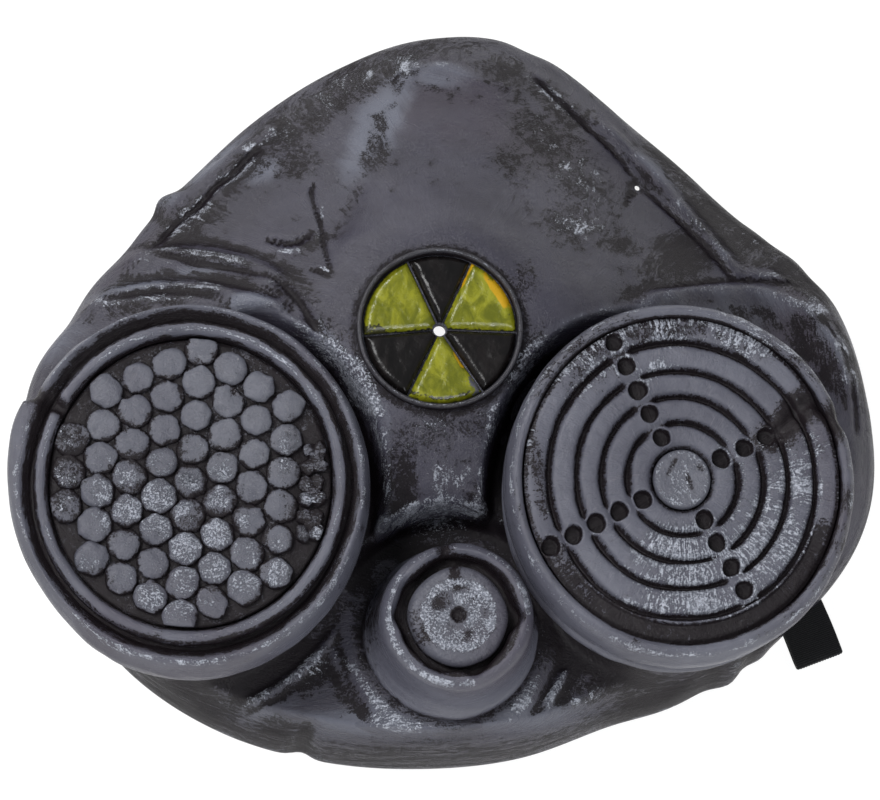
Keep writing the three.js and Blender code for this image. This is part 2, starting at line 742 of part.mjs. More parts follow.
function headStrap() {
  const stations = strapStations();
  const last = stations.length - 1;
  const corners = stations.map(({ middle, wide, thick }) => {
    const corner = (a, b) =>
      middle
        .clone()
        .addScaledVector(wide, (a * STRAP_WIDTH) / 2)
        .addScaledVector(thick, (b * STRAP_THICKNESS) / 2);
    return [corner(-1, -1), corner(1, -1), corner(1, 1), corner(-1, 1)];
  });
  const positions = corners.flat().flatMap((p) => [p.x, p.y, p.z]);
  const index = [];
  for (let i = 0; i < last; i++) {
    for (let j = 0; j < 4; j++) {
      const a = i * 4 + j;
      const b = i * 4 + ((j + 1) % 4);
      index.push(a, b, b + 4, a, b + 4, a + 4);
    }
  }
  index.push(0, 2, 1, 0, 3, 2);
  const end = last * 4;
  index.push(end, end + 1, end + 2, end, end + 2, end + 3);
  const geometry = new THREE.BufferGeometry();
  geometry.setAttribute("position", new THREE.Float32BufferAttribute(positions, 3));
  geometry.setIndex(index);
  return geometry;
}

// Finishes
const finish = (color, roughness, metalness = 0) =>
  new THREE.MeshStandardMaterial({ color, roughness, metalness });
const SKIN = finish(0x55555f, 0.45);
const DRUM = finish(0x5b5b66, 0.42);
const SILVER = finish(0x8a8e98, 0.4, 0.3);
const YELLOW = finish(0x8d8f22, 0.35);
const BLACK = finish(0x17171a, 0.3);
const ELASTIC = finish(0x101012, 0.85);
const STEEL = finish(0xb8babf, 0.3, 0.9);

function named(name, geometry, material) {
  const mesh = new THREE.Mesh(geometry, material);
  mesh.name = name;
  return mesh;
}

const mask = new THREE.Group();
mask.add(named("face_shell", faceShell(), SKIN));

function drumGroup(place, height, stretch) {
  const group = new THREE.Group();
  group.position.set(place.x, place.y, height + GAP);
  group.scale.y = stretch;
  mask.add(group);
  return group;
}

const left = drumGroup(LEFT_PLACE, FILTER_SEAT, FILTER_STRETCH);
left.add(named("left_filter_housing", leftHousing(), DRUM));
const ring = named("left_filter_ring", leftRing(), DRUM);
const honeycomb = named("left_filter_honeycomb", leftHoneycomb(), SILVER);
ring.position.z = LEFT_HEIGHT - RING_SEAT + GAP;
honeycomb.position.z = ring.position.z;
left.add(ring, honeycomb);

const right = drumGroup(RIGHT_PLACE, FILTER_SEAT, FILTER_STRETCH);
right.add(named("right_filter_housing", rightHousing(), DRUM));
const grille = named("right_filter_grille", rightGrille(), DRUM);
const hub = named("right_filter_hub", rightHub(), SILVER);
grille.position.z = RIGHT_HEIGHT - RECESS_DEPTH + GAP;
hub.position.z = grille.position.z;
right.add(grille, hub);

const valve = drumGroup(VALVE_PLACE, VALVE_SEAT, 1);
valve.add(named("valve_housing", valveHousing(), DRUM));
const button = named("valve_button", valveButton(), SILVER);
button.position.z = VALVE_HEIGHT - VALVE_DEPTH + GAP;
valve.add(button);

const badge = drumGroup(new THREE.Vector2(0, 0), CROWN, 1);
badge.add(named("badge_ring", badgeRing(), DRUM));
for (const field of BADGE_FIELDS) {
  badge.add(named(field.name, badgeField(field), field.dark ? BLACK : YELLOW));
}

mask.add(named("head_strap", headStrap(), ELASTIC));

// A plain rivet head on the inner side of each strap end.
function strapRivet(name, station) {
  const shape = new THREE.CylinderGeometry(RIVET_RADIUS, RIVET_RADIUS, RIVET_HEIGHT, 16);
  const rivet = named(name, shape, STEEL);
  const outward = station.thick.dot(station.middle.clone().setZ(0)) > 0;
  const facing = station.thick.clone().multiplyScalar(outward ? -1 : 1);
  rivet.quaternion.setFromUnitVectors(new THREE.Vector3(0, 1, 0), facing);
  const off = STRAP_THICKNESS / 2 + RIVET_GAP + RIVET_HEIGHT / 2;
  rivet.position.copy(station.middle).addScaledVector(facing, off);
  return rivet;
}
const stations = strapStations();
mask.add(strapRivet("strap_rivet_right", stations[1]));
mask.add(strapRivet("strap_rivet_left", stations[stations.length - 2]));

// The part's origin is on the table under the middle of the mask's outline.
const middle = new THREE.Box3().setFromObject(mask, true).getCenter(new THREE.Vector3());
mask.position.set(-middle.x, -middle.y, 0);

export default mask;
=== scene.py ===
# A costume respirator mask of cast latex: blue-grey paint, a dark wash in its folds, silver
# rubbed over its edges. It lies face up on a pale studio floor.
# Tables are in millimetres from the vent, the small bore in the middle of the badge: +X towards
# the grooved filter, +Y towards the nose bridge, +Z out of the face.
import math
from collections import namedtuple

import bpy
import numpy as np
from mathutils import Matrix, Vector


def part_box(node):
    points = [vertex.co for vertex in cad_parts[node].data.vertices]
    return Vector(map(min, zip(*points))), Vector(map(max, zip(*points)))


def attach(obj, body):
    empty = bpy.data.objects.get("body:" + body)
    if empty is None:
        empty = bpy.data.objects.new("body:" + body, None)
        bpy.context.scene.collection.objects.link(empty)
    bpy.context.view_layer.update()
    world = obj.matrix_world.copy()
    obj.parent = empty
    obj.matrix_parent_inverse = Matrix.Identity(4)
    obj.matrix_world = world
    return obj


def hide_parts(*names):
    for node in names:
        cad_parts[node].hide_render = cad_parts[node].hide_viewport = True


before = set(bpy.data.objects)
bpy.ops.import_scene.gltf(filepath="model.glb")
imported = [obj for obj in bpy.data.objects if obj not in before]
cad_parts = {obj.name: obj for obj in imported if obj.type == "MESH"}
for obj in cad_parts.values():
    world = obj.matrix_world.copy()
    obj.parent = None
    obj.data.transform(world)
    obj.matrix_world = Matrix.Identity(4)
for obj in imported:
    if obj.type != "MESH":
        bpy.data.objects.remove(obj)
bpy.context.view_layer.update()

MM = 0.001
RAD = math.pi / 180

# Sizes of the solids
REACH = 100.0
CROWN = 70.0
WALL = 2.0
FOOT = 3.0
VENT_BORE = 3.0
PINHOLE = 1.5
PINHOLE_PLACE = (54.5, 50.6)
PINHOLE_HEIGHT = 28.0
PINHOLE_LEAN = (-0.07, -0.24, 0.97)
GAP = 0.3
BADGE_RADIUS = 20.3
BADGE_RIM = 1.4
BADGE_HEIGHT = 2.6
SECTOR_HEIGHT = 1.5
SECTOR_GAP = 0.5
STRETCH = 1.05
FILTER_SEAT = 50.0
LEFT_RADIUS = 43.2
LEFT_HEIGHT = 28.0
RIGHT_RADIUS = 42.0
RIGHT_HEIGHT = 31.0
DRUM_FOOT = 31.0
LEFT_PLACE = (-59.8, -40.6)
RIGHT_PLACE = (57.5, -38.4)
RING_RADIUS = 37.3
RING_WIDTH = 3.6
RING_HEIGHT = 4.2
RING_SEAT = 3.0
BOSS_PITCH = 7.25
BOSS_STEP = 7.75
BOSS_RADIUS = 4.75
BOSS_HEIGHT = 2.9
BOSS_TOP = 2.2
CHIP_RADIUS = 2.2
PLATE_HEIGHT = 1.6
FIELD_TURN = -3.6
BROKEN_FROM = 27.5
CHIP_OFFSETS = [
    (-1.5, 1.9, -0.1),
    (1.2, 2.2, -0.3),
    (0.1, 0.1, -0.2),
    (-1.6, -2.0, -0.2),
    (1.5, -1.8, 0),
]
RECESS_RADIUS = 38.3
RECESS_DEPTH = 5.0
GRILLE_HEIGHT = 3.6
HUB_RADIUS = 7.0
HOLE_RADIUS = 2.1
VALVE_PLACE = (4.3, -71.0)
VALVE_SEAT = 46.0
VALVE_BASE = 21.4
VALVE_RIM = 17.3
VALVE_HEIGHT = 28.0
VALVE_BORE = 14.0
VALVE_DEPTH = 6.0
BUTTON_RADIUS = 12.0
BUTTON_HEIGHT = 5.4
STRAP_WIDTH = 13.0
STRAP_THICKNESS = 1.1
RIVET_RADIUS = 3.0
RIVET_HEIGHT = 1.2
RIVET_CLEARANCE = 0.45

# Heights that pieces stand at
DRUM_FOOTING = FILTER_SEAT + GAP
LEFT_FLOOR = DRUM_FOOTING + LEFT_HEIGHT - RING_SEAT + GAP
RIGHT_FLOOR = DRUM_FOOTING + RIGHT_HEIGHT - RECESS_DEPTH + GAP
VALVE_FOOTING = VALVE_SEAT + GAP
VALVE_FLOOR = VALVE_FOOTING + VALVE_HEIGHT - VALVE_DEPTH + GAP
BADGE_FOOTING = CROWN + GAP

# Directions, in degrees, of the nicks in the rims
LEFT_NICK = 152
RIGHT_NICK = 21
VALVE_NICK = 101

# The skin's section each 15 degrees from +X: rim and turn are shares of REACH and of the rim,
# wall and half are heights and lift is how far the rim leaves the table, as shares of CROWN.
SECTIONS = np.array(
    [
        # rim, turn, wall, half, lift
        (1.18, 0.9, 0.4, 0.76, 0),
        (1.12, 0.9, 0.38, 0.76, 0),
        (0.982, 0.9, 0.33, 0.76, 0.01),
        (0.944, 0.89, 0.3, 0.74, 0.02),
        (0.956, 0.88, 0.29, 0.71, 0),
        (1.015, 0.84, 0.36, 0.7, 0.01),
        (0.985, 0.83, 0.385, 0.7, 0.03),
        (0.928, 0.85, 0.33, 0.69, 0.01),
        (0.88, 0.88, 0.26, 0.68, 0),
        (0.85, 0.89, 0.25, 0.7, 0.01),
        (0.865, 0.89, 0.27, 0.72, 0.03),
        (0.93, 0.89, 0.35, 0.76, 0),
        (1.02, 0.93, 0.5, 0.77, 0),
        (1.06, 0.96, 0.62, 0.76, 0),
        (1.055, 0.975, 0.66, 0.74, 0),
        (1.05, 0.965, 0.6, 0.74, 0),
        (1.026, 0.94, 0.5, 0.74, 0),
        (0.995, 0.945, 0.58, 0.74, 0),
        (0.978, 0.955, 0.66, 0.76, 0),
        (0.982, 0.95, 0.6, 0.76, 0),
        (0.992, 0.93, 0.5, 0.76, 0),
        (1.065, 0.92, 0.48, 0.76, 0),
        (1.155, 0.92, 0.46, 0.76, 0.075),
        (1.215, 0.91, 0.42, 0.76, 0),
    ]
)

# Flat seats under the drums: place, height, foot, full radius, stretch.
SEATS = [
    (LEFT_PLACE, FILTER_SEAT, DRUM_FOOT + 2, LEFT_RADIUS + 0.6, STRETCH),
    (RIGHT_PLACE, FILTER_SEAT, DRUM_FOOT + 2, RIGHT_RADIUS + 0.6, STRETCH),
    (VALVE_PLACE, VALVE_SEAT, VALVE_BASE + 0.6, VALVE_BASE + 5.2, 1.0),
]
# Where the painted contact shade on the skin round each seat starts.
SEAT_SHADE_EDGES = [LEFT_RADIUS + 0.6, RIGHT_RADIUS + 0.6, VALVE_BASE + 0.4]
SEAT_FALL = 7.0
SEAT_RISE = 4.5

# Folds of the skin: places it runs through, width on its left and right side going along it,
# and rise, negative for a crease.
FOLDS = [
    # broad rolls and ribs
    ([(-2, 77), (-10, 57), (-17.6, 33.5), (-23.6, 18.5)], 9.0, 3.2, 1.7),
    ([(-10, 80), (-3.2, 83), (3.3, 83.6), (12, 80.5), (24, 76)], 3.0, 5.0, 1.2),
    ([(-38, 70), (-46, 64.5), (-55, 58.8), (-64, 51.5), (-70.5, 45)], 3.0, 2.6, 1.9),
    ([(-79, 31), (-66, 31), (-54, 27.5), (-43, 20.5), (-37, 12)], 2.6, 6.5, 3.0),
    (
        [(-92, 15), (-78, 19.5), (-62, 18.5), (-50, 13.2), (-40, 6.5), (-31, -3.5), (-26, -12)],
        2.2, 5.5, 2.9,
    ),
    ([(-51.5, 9.6), (-43.5, 9.3), (-36, 6.6)], 3.0, 3.0, 2.2),
    (
        [(43, 73.5), (48.5, 69), (55, 62), (60.5, 55.5), (66, 47.5), (72, 38), (77, 30), (80.5, 24)],
        2.4, 2.6, 2.3,
    ),
    (
        [(46, 8), (57, 14.5), (70, 18.6), (82, 20.6), (94, 19), (103, 13), (109, 3), (111, -8)],
        2.4, 5.5, 3.0,
    ),
    ([(79, 26), (90, 25.5), (100, 21), (108, 12), (113.5, 0), (115, -12)], 3.2, 3.6, 2.2),
    ([(-18, -44), (-10, -46.5), (0, -46), (9, -44), (15, -40)], 3.4, 2.2, 2.6),
    ([(-23.5, -66), (-27.5, -73.5), (-33, -79), (-38.5, -83), (-46.5, -86)], 2.4, 3.2, 2.0),
    ([(-24.6, -73.5), (-19.5, -82.5), (-14.5, -88.6), (-9, -93.6)], 1.7, 1.5, 2.2),
    ([(28.4, -76), (26, -81), (22.8, -86.5), (17.5, -91.5)], 1.5, 1.8, 2.0),
    ([(34, -78), (31, -82), (27, -88.5)], 1.5, 1.8, 1.7),
    ([(-19.2, -57), (-19.8, -64), (-20.4, -72)], 1.8, 1.6, 1.1),
    # creases
    (
        [(-42.8, 30.8), (-40, 29.8), (-37.1, 28.2), (-34.4, 28.2), (-32, 29.4), (-30, 31.8)],
        1.2, 1.0, -2.0,
    ),
    ([(-39.5, 27.4), (-36, 25.6), (-32.6, 25.6)], 1.2, 1.0, 0.8),
    (
        [(-29.4, 48.2), (-30.6, 44.4), (-29.5, 38.4), (-28.3, 32.2), (-27.8, 25.4), (-26.2, 15)],
        0.7, 0.6, -1.3,
    ),
    ([(-32, 18.8), (-30, 17.6), (-28.2, 16.4), (-26.3, 14.4)], 0.8, 0.7, -1.0),
    (
        [(-42.5, 62.8), (-46.4, 60.2), (-50.4, 55.2), (-54.8, 52.0), (-59.4, 46.2), (-64.6, 42.0),
         (-69.2, 36.4), (-73, 33.6)],
        1.1, 1.0, -1.8,
    ),
    (
        [(-74.2, 33.2), (-66, 29.6), (-57, 24.6), (-47, 20.4), (-40.2, 16.8), (-35.3, 10.8),
         (-31.6, 3.8), (-29, -3)],
        1.0, 1.0, -1.3,
    ),
    ([(-85, 18.6), (-72, 18.4), (-61, 16.6), (-52, 12.4)], 1.6, 1.5, -1.8),
    ([(27, 83.6), (34.3, 76.8), (43.3, 67.8), (50, 60.2), (54, 52)], 0.8, 0.8, -1.3),
    ([(55, 50), (58.3, 47.6), (66.3, 39.6), (73.1, 30.4), (78, 23)], 0.9, 0.9, -1.3),
    ([(54.4, 50), (51.6, 46), (49.8, 42)], 0.7, 0.7, -0.8),
    ([(55.3, 16.4), (67.4, 20.2), (76, 22.8), (88, 24.6), (98, 25)], 0.8, 1.0, -1.1),
    ([(100, 17.5), (107, 9), (110.4, -4), (111, -16)], 0.9, 0.9, -1.0),
    ([(6.1, -38.6), (11.3, -41.8), (17.3, -45.4), (21, -50)], 0.9, 0.9, -1.0),
    ([(-27.5, -69), (-32, -75.6), (-37.4, -79.6), (-43, -82)], 0.9, 0.9, -1.0),
    ([(-32, -81.5), (-38.6, -86), (-46.5, -89)], 0.9, 0.9, -1.0),
    # the lip along the chin
    (
        [(-61, -84), (-53.9, -87), (-43, -90.9), (-30, -94), (-17.7, -95.8), (-4.6, -96.4),
         (6.7, -96.2), (19.3, -94.8), (31, -91.6), (48, -85.6), (62, -80.4)],
        1.6, 0.7, 1.0,
    ),
    ([(38.5, -76.5), (46, -79.2), (54, -80.6), (62, -80), (70, -77.6)], 1.8, 0.8, 1.2),
    ([(-77, -78.5), (-70, -82.2), (-62, -84), (-55, -84.4)], 1.6, 0.8, 1.1),
]

# Paint, painted shadow and painted highlight on the skin: x, y, half sizes along and across, turn in
# degrees, wash, rub.
SKIN_PATCHES = [
    (-14, 84, 17, 8, 28, 0.85, 0.42),
    (-33, 70, 16, 8, 40, 0.85, 0.46),
    (-47, 57, 14, 4.5, 42, 0.8, 0.4),
    (-60, 43, 16, 5.5, 44, 0.9, 0.46),
    (-53, 47, 9, 5, 44, 0.1, 0.3),
    (-33.5, 55, 5, 6, 70, 0.62, 0.1),
    (-30.5, 27.5, 3.2, 4.4, 100, 0.75, 0.12),
    (-27.5, 16.5, 3, 1.6, 150, 0.6, 0),
    (-36, 25.3, 4.6, 0.8, -12, 0, 0.66),
    (-27.8, 17.6, 2.6, 0.6, -45, 0, 0.62),
    (-28.2, 36, 5, 0.6, 84, 0, 0.5),
    (-14, 53, 3, 6, -20, 0.55, 0.1),
    (3, 92, 18, 6, 0, 0.46, 0.1),
    (20, 83, 8, 7, -30, 0.72, 0.06),
    (33, 76, 11, 5, -42, 0.7, 0.36),
    (30, 62, 12, 8, -50, 0.5, 0.4),
    (38, 50, 12, 10, -40, 0.5, 0.5),
    (36, 34, 12, 8, 10, 0.46, 0.5),
    (46, 29, 7, 3.4, 5, 0.66, 0.16),
    (21, 52, 7, 7, 0, 0.36, 0),
    (22, 13, 4, 6, 0, 0.34, 0),
    (64, 29, 9, 7, 40, 1.15, 0.02),
    (58, 24, 8, 4, 20, 0.9, 0.05),
    (66, 61, 12, 4, -48, 0.9, 0.05),
    (80, 44, 18, 6.5, -44, 1.1, 0.3),
    (96, 30, 14, 6, -40, 1.0, 0.06),
    (73, 38, 10, 3, -46, 0.5, 0.1),
    (111, 4, 16, 4, -72, 0.55, 0.2),
    (103, 4, 12, 4, -60, 0.5, 0.2),
    (98, 18, 8, 3, -20, 0.4, 0.3),
    (-35, 13, 8, 4, -50, 0.62, 0.14),
    (-57, 27, 18, 3, -25, 0.6, 0.06),
    (-66, 17, 20, 3.6, 3, 0.78, 0.4),
    (-27, -3, 9, 5, -60, 0.5, 0.34),
    (-20, -14, 9, 5, -70, 0.4, 0.5),
    (-19, -27, 9, 4, -80, 0.5, 0.45),
    (-4, -26, 12, 5, 12, 0.42, 0.3),
    (10, -23, 8, 4, 20, 0.42, 0.2),
    (23, -7, 9, 5, 70, 0.56, 0.2),
    (20, -22, 9, 4, 80, 0.5, 0.1),
    (-10, -37, 5.5, 9, 10, 0.8, 0.22),
    (0, -43, 12, 4, 4, 0.1, 0.62),
    (3, -35, 9, 5, 0, 0.22, 0.5),
    (14, -43, 8, 4, -40, 0.95, 0.06),
    (16, -34, 5, 10, 5, 0.72, 0.04),
    (0, -50.5, 18, 2.4, 0, 1.0, 0),
    # painted shadow on the skin right of the valve
    (28, -64, 8, 14, 10, 1.05, 0),
    (35, -72, 10, 5, -30, 1.0, 0),
    (-17, -52, 2.4, 9, 6, 0.55, 0),
    (-17, -72, 2.4, 9, 8, 0.5, 0.04),
    (-29.5, -79.5, 5.5, 4.5, 20, 0.4, 0.6),
    # silver here is partly painted highlight along the left chin crest
    (-9, -92.6, 9, 2.2, -8, 0.1, 0.75),
    (-16.8, -83.5, 12, 1.2, -52, 0.1, 0.66),
    (-20.6, -85, 10, 2, -52, 0.5, 0.1),
    (-37, -92, 6, 2.6, -10, 0.66, 0),
    (-43, -84, 9, 3.4, 30, 0.6, 0.3),
    (38, -84, 9, 3.4, 14, 0.5, 0.46),
    # silver here is partly painted highlight along the right chin crests
    (22.5, -87, 1.6, 6, -34, 0.1, 0.62),
    (30.5, -83.5, 1.6, 6, -34, 0.1, 0.55),
    (-62, -84, 14, 4, -14, 0.56, 0.06),
    (60, -82, 20, 4, 6, 0.5, 0.1),
]

# Painted highlights on the skin: x, y, half sizes along and across, turn, how much.
HIGHLIGHT_PLACES = [
    (-13, 66, 22, 6.5, 67, 0.95),
    (3, 80, 9, 5, 0, 0.6),
    (-43, 55, 6, 5, 44, 0.7),
    (-57, 60, 16, 3, 42, 0.7),
    (-70, 22, 22, 3.5, 4, 0.65),
    (-92, 8, 10, 6, 45, 0.5),
    (-47, 10, 6, 3, 0, 0.8),
    (-28, -2, 6, 3, -60, 0.5),
    (62, 57, 12, 2.4, -48, 0.45),
    (80, 14, 26, 4, 12, 0.35),
    (104, 10, 10, 5, -50, 0.4),
    (-44, -87, 16, 4.5, -14, 0.5),
    (-12, -92, 26, 4, -3, 0.55),
    (30, -89, 22, 4.5, 14, 0.5),
    (0, -88, 14, 4, 0, 0.4),
    (-1, -45, 11, 3, 0, 0.5),
]

# How far the rim stands out of its section: direction, half width in degrees, millimetres.
RIM_BUMPS = [
    (143.0, 2.4, 2.1),
    (155.0, 5.0, -0.9),
    (172.0, 6.0, -1.6),
    (252.0, 1.8, -1.4),
    (308.0, 6.0, 1.1),
    (317.0, 2.2, 2.2),
    (322.0, 1.6, 1.0),
    (329.0, 2.2, -1.5),
    (62.0, 7.0, 1.1),
    (73.5, 3.0, -0.9),
    (17.0, 2.5, -1.3),
    (23.0, 2.5, -0.8),
]

BADGE_FIELDS = [
    # node, from, to, dark
    ("badge_field_right", -1, 66, False),
    ("badge_field_top", 66, 115, True),
    ("badge_field_left", 115, 186, False),
    ("badge_field_lower_left", 186, 245, True),
    ("badge_field_bottom", 245, 304, False),
    ("badge_field_lower_right", 304, 359, True),
]

# Grooves of the grille as shares of its radius, and rows of holes: direction, how many.
GROOVES = [0.35, 0.512, 0.668, 0.842]
HOLE_ROWS = [(26.5, 3), (116.5, 5), (207, 5), (299.5, 4)]
FIRST_HOLE = 0.28
HOLE_STEP = 0.163
CRACK = [(21, 10.1), (23.6, 11), (27.7, 15.6), (31.2, 18.6), (35.2, 17.6), (39.3, 16.6), (43.4, 16)]

# Paint on the pieces, in the same columns as the skin's, from the middle of each piece.
HONEYCOMB_PATCHES = [
    (29, -6, 6, 17, 0, 0.72, 0.34),
    (-30, 4, 5, 14, 0, 0.5, 0.35),
    (-24, -22, 8, 5, -40, 0.3, 0.25),
    (3, -8, 11, 14, 0, 0.3, 0.74),
    (-14, -4, 10, 11, 0, 0.32, 0.52),
    (18, -20, 9, 9, 0, 0.22, 0.5),
    (-6, -26, 14, 7, 0, 0.05, 0.4),
    (24, 6, 5, 8, 0, 0.3, 0.3),
]
GRILLE_PATCHES = [
    (-20, 29, 12, 7, 40, 0.56, 0.45),
    (-4, 35, 14, 3.4, 5, 0.75, 0.4),
    (14, 33, 9, 3, -25, 0.6, 0.7),
    (-35, 2, 2, 15, 10, 0.6, 0.2),
    (-30, -20, 5, 7, 40, 0.6, 0.1),
    (2, -18, 15, 8, 0, 0.12, 0.8),
    (3, -28, 16, 4, 0, 0.15, 0.72),
    (20, -14, 10, 12, -20, 0.12, 0.72),
    (28, 0, 7, 9, 0, 0.12, 0.62),
    (14, 4, 6, 7, 0, 0.1, 0.35),
    (-6, 26, 7, 2.5, 30, 0.1, 0.5),
    (32, 8, 5, 4, 0, 0.4, 0.5),
    (27, 16.5, 5, 3, 45, 1.2, 0),
    (35, 18, 5, 3, -10, 1.3, 0),
]
HUB_PATCHES = [
    (-2.6, 2.6, 0.7, 3.4, -28, 1.0, 0),
    (1.6, -0.6, 0.8, 3, 24, 0.95, 0),
    (4.4, 2.6, 1.2, 1.4, 40, 0.66, 0),
    (0, 0, 7.5, 7.5, 0, 0.1, 0.5),
]
BUTTON_PATCHES = [
    (-5, 2.4, 1.4, 2.6, 20, 0.7, 0),
    (4, 4.6, 1.2, 2.2, -40, 0.6, 0),
    (1.4, -5, 2.4, 1.1, 30, 0.55, 0),
    (-9, -4, 3, 5, 30, 0.3, 0),
    (-1, 9.2, 1.3, 3.2, 0, 1.1, 0),
]

# The strap's way: x, y in shares of REACH, z, direction of its width in plan, tilt on edge.
STRAP_ROUTE = np.array(
    [
        (1.13, -0.04, 10.5, 178, 78),
        (1.128, -0.16, 10.5, 172, 78),
        (1.055, -0.3, 8, 170, 58),
        (0.975, -0.42, 3.6, 180, 20),
        (0.965, -0.5, 1, 194, 0),
        (1.005, -0.59, 0.9, 199, 0),
        (1.035, -0.67, 0.9, 201, 0),
        (1.041, -0.685, 1.65, 201, 0),
        (1.035, -0.67, 2.4, 201, 0),
        (1.005, -0.59, 2.4, 201, 0),
        (0.95, -0.47, 2.6, 204, 0),
        (0.86, -0.32, 2.2, 222, 0),
        (0.7, -0.2, 1, 242, 0),
        (0.4, -0.11, 0.9, 258, 0),
        (0, -0.07, 0.9, 268, 0),
        (-0.4, -0.07, 0.9, 274, 0),
        (-0.68, -0.1, 1.2, 284, 4),
        (-0.86, -0.17, 5.5, 304, 40),
        (-0.935, -0.27, 10, 345, 82),
        (-0.934, -0.37, 10.5, 366, 89),
    ]
)

# Where the vent is in the part's own frame, in millimetres
ring_low, ring_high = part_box("badge_ring")
VENT = np.array([(ring_low[0] + ring_high[0]) / 2, (ring_low[1] + ring_high[1]) / 2, 0.0]) / MM


# Shapes


def ease(t):
    u = np.clip(t, 0, 1)
    return u * u * (3 - 2 * u)


def mix(a, b, t):
    return a + (b - a) * t


def bell(value, middle, width):
    """1 where value is at the middle, falling off smoothly on both sides."""
    return np.exp(-(((value - middle) / width) ** 2))


def part_of(value, full):
    """value as a share of full, kept between 0 and 1."""
    return np.clip(value / full, 0, 1)


def through(a, b, c, d, t):
    """Smooth value between b and c, with a and d their neighbours."""
    bend = (2 * a - 5 * b + 4 * c - d) * t * t + (3 * b - a - 3 * c + d) * t**3
    return 0.5 * (2 * b + (c - a) * t + bend)


def smooth_line(places, step=1.2):
    """A smooth line through the places, as closely spaced points."""
    p = np.array(places, float)
    p = np.vstack([2 * p[0] - p[1], p, 2 * p[-1] - p[-2]])
    out = []
    for i in range(1, len(p) - 2):
        count = max(2, int(np.linalg.norm(p[i + 1] - p[i]) / step))
        t = np.arange(count)[:, None] / count
        out.append(through(p[i - 1], p[i], p[i + 1], p[i + 2], t))
    out.append(p[-2:-1])
    return np.vstack(out)


def lumps(x, y, size, seed):
    """Soft random lumps of about this size, from -1 to 1."""
    rows = np.random.default_rng(seed).uniform(-1, 1, (64, 64))
    gx, gy = x / size + 640, y / size + 640
    ix, iy = np.floor(gx).astype(int), np.floor(gy).astype(int)
    fx, fy = ease(gx - ix), ease(gy - iy)
    at = lambda i, j: rows[(ix + i) % 64, (iy + j) % 64]
    return mix(mix(at(0, 0), at(1, 0), fx), mix(at(0, 1), at(1, 1), fx), fy)


def sections_at(dirs):
    """rim, turn, wall, half and lift in millimetres for an array of directions."""
    count = len(SECTIONS)
    place = (np.asarray(dirs, float) / 360 * count) % count
    row = np.floor(place).astype(int)
    t = (place - row)[..., None]
    at = lambda step: SECTIONS[(row + step) % count]
    rim, turn, wall, half, lift = np.moveaxis(through(at(-1), at(0), at(1), at(2), t), -1, 0)
    rim = rim * REACH
    return rim, turn * rim, wall * CROWN, half * CROWN, np.maximum(0, lift) * CROWN


def face_height(section, distance):
    rim, turn, wall, half, _ = section
    middle = rim / 2
    out_slope = (wall - half) / (turn - middle)
    mid_slope = (wall - CROWN) / (turn - BADGE_RADIUS)

    def curve(r0, z0, m0, r1, z1, m1):
        step = r1 - r0
        t = (distance - r0) / step
        return (
            (2 * t**3 - 3 * t * t + 1) * z0
            + (t**3 - 2 * t * t + t) * step * m0
            + (3 * t * t - 2 * t**3) * z1
            + (t**3 - t * t) * step * m1
        )

    z = wall + out_slope * (distance - turn)
    z = np.where(distance <= turn, curve(middle, half, mid_slope, turn, wall, out_slope), z)
    z = np.where(distance <= middle, curve(BADGE_RADIUS, CROWN, 0, middle, half, mid_slope), z)
    return np.where(distance <= BADGE_RADIUS, CROWN, z)


def from_drum(x, y, seat):
    place, _, _, _, stretch = seat
    return np.hypot(x - place[0], (y - place[1]) / stretch)


def fold_rise(x, y):
    """How far the folds and lumps lift the skin at each place."""
    total = 0.32 * lumps(x, y, 13, 3) + 0.2 * lumps(x, y, 6, 4) + 0.1 * lumps(x, y, 2.6, 5)
    for places, left, right, rise in FOLDS:
        line = smooth_line(places)
        reach = 3 * max(left, right)
        near = (
            (x > line[:, 0].min() - reach)
            & (x < line[:, 0].max() + reach)
            & (y > line[:, 1].min() - reach)
            & (y < line[:, 1].max() + reach)
        )
        px, py = x[near], y[near]
        dx, dy = px[:, None] - line[:, 0], py[:, None] - line[:, 1]
        away = np.hypot(dx, dy)
        nearest = away.argmin(1)
        pick = np.arange(len(px))
        way = np.gradient(line, axis=0)[nearest]
        side = way[:, 0] * dy[pick, nearest] - way[:, 1] * dx[pick, nearest]
        width = np.where(side > 0, left, right)
        share = nearest / (len(line) - 1)
        ramp = max(0.16, 3.5 / len(line))
        taper = ease(share / ramp + 0.15) * ease((1 - share) / ramp + 0.15)
        uneven = 1 + 0.25 * lumps(px, py, 5, 11)
        total[near] += rise * uneven * taper * bell(away[pick, nearest], 0, width)
    return total


def skin_height(dirs, distance, folded=True):
    """Outer height of the skin at each direction and distance from the vent."""
    section = sections_at(dirs)
    rim, turn, _, _, lift = section
    x, y = distance * np.cos(dirs * RAD), distance * np.sin(dirs * RAD)
    down = np.maximum(0, (distance - turn) / (rim - turn))
    drop = np.sqrt(np.maximum(0, 1 - np.minimum(1, down) ** 2.2))
    z = face_height(section, distance)
    for seat in SEATS:
        away = from_drum(x, y, seat)
        share = np.where(z > seat[1], (away - seat[3]) / SEAT_RISE, (away - seat[2]) / SEAT_FALL)
        z = mix(seat[1], z, ease(share))
    if folded:
        free = ease((distance - BADGE_RADIUS - 1) / 4)
        for seat in SEATS:
            free = free * ease((from_drum(x, y, seat) - seat[3] - 0.5) / 2)
        z = z + free * fold_rise(x.ravel(), y.ravel()).reshape(x.shape)
    return z * drop + lift * np.minimum(1, down) ** 2


# Mesh making

Spots = namedtuple("Spots", "x y u v radius turn level")


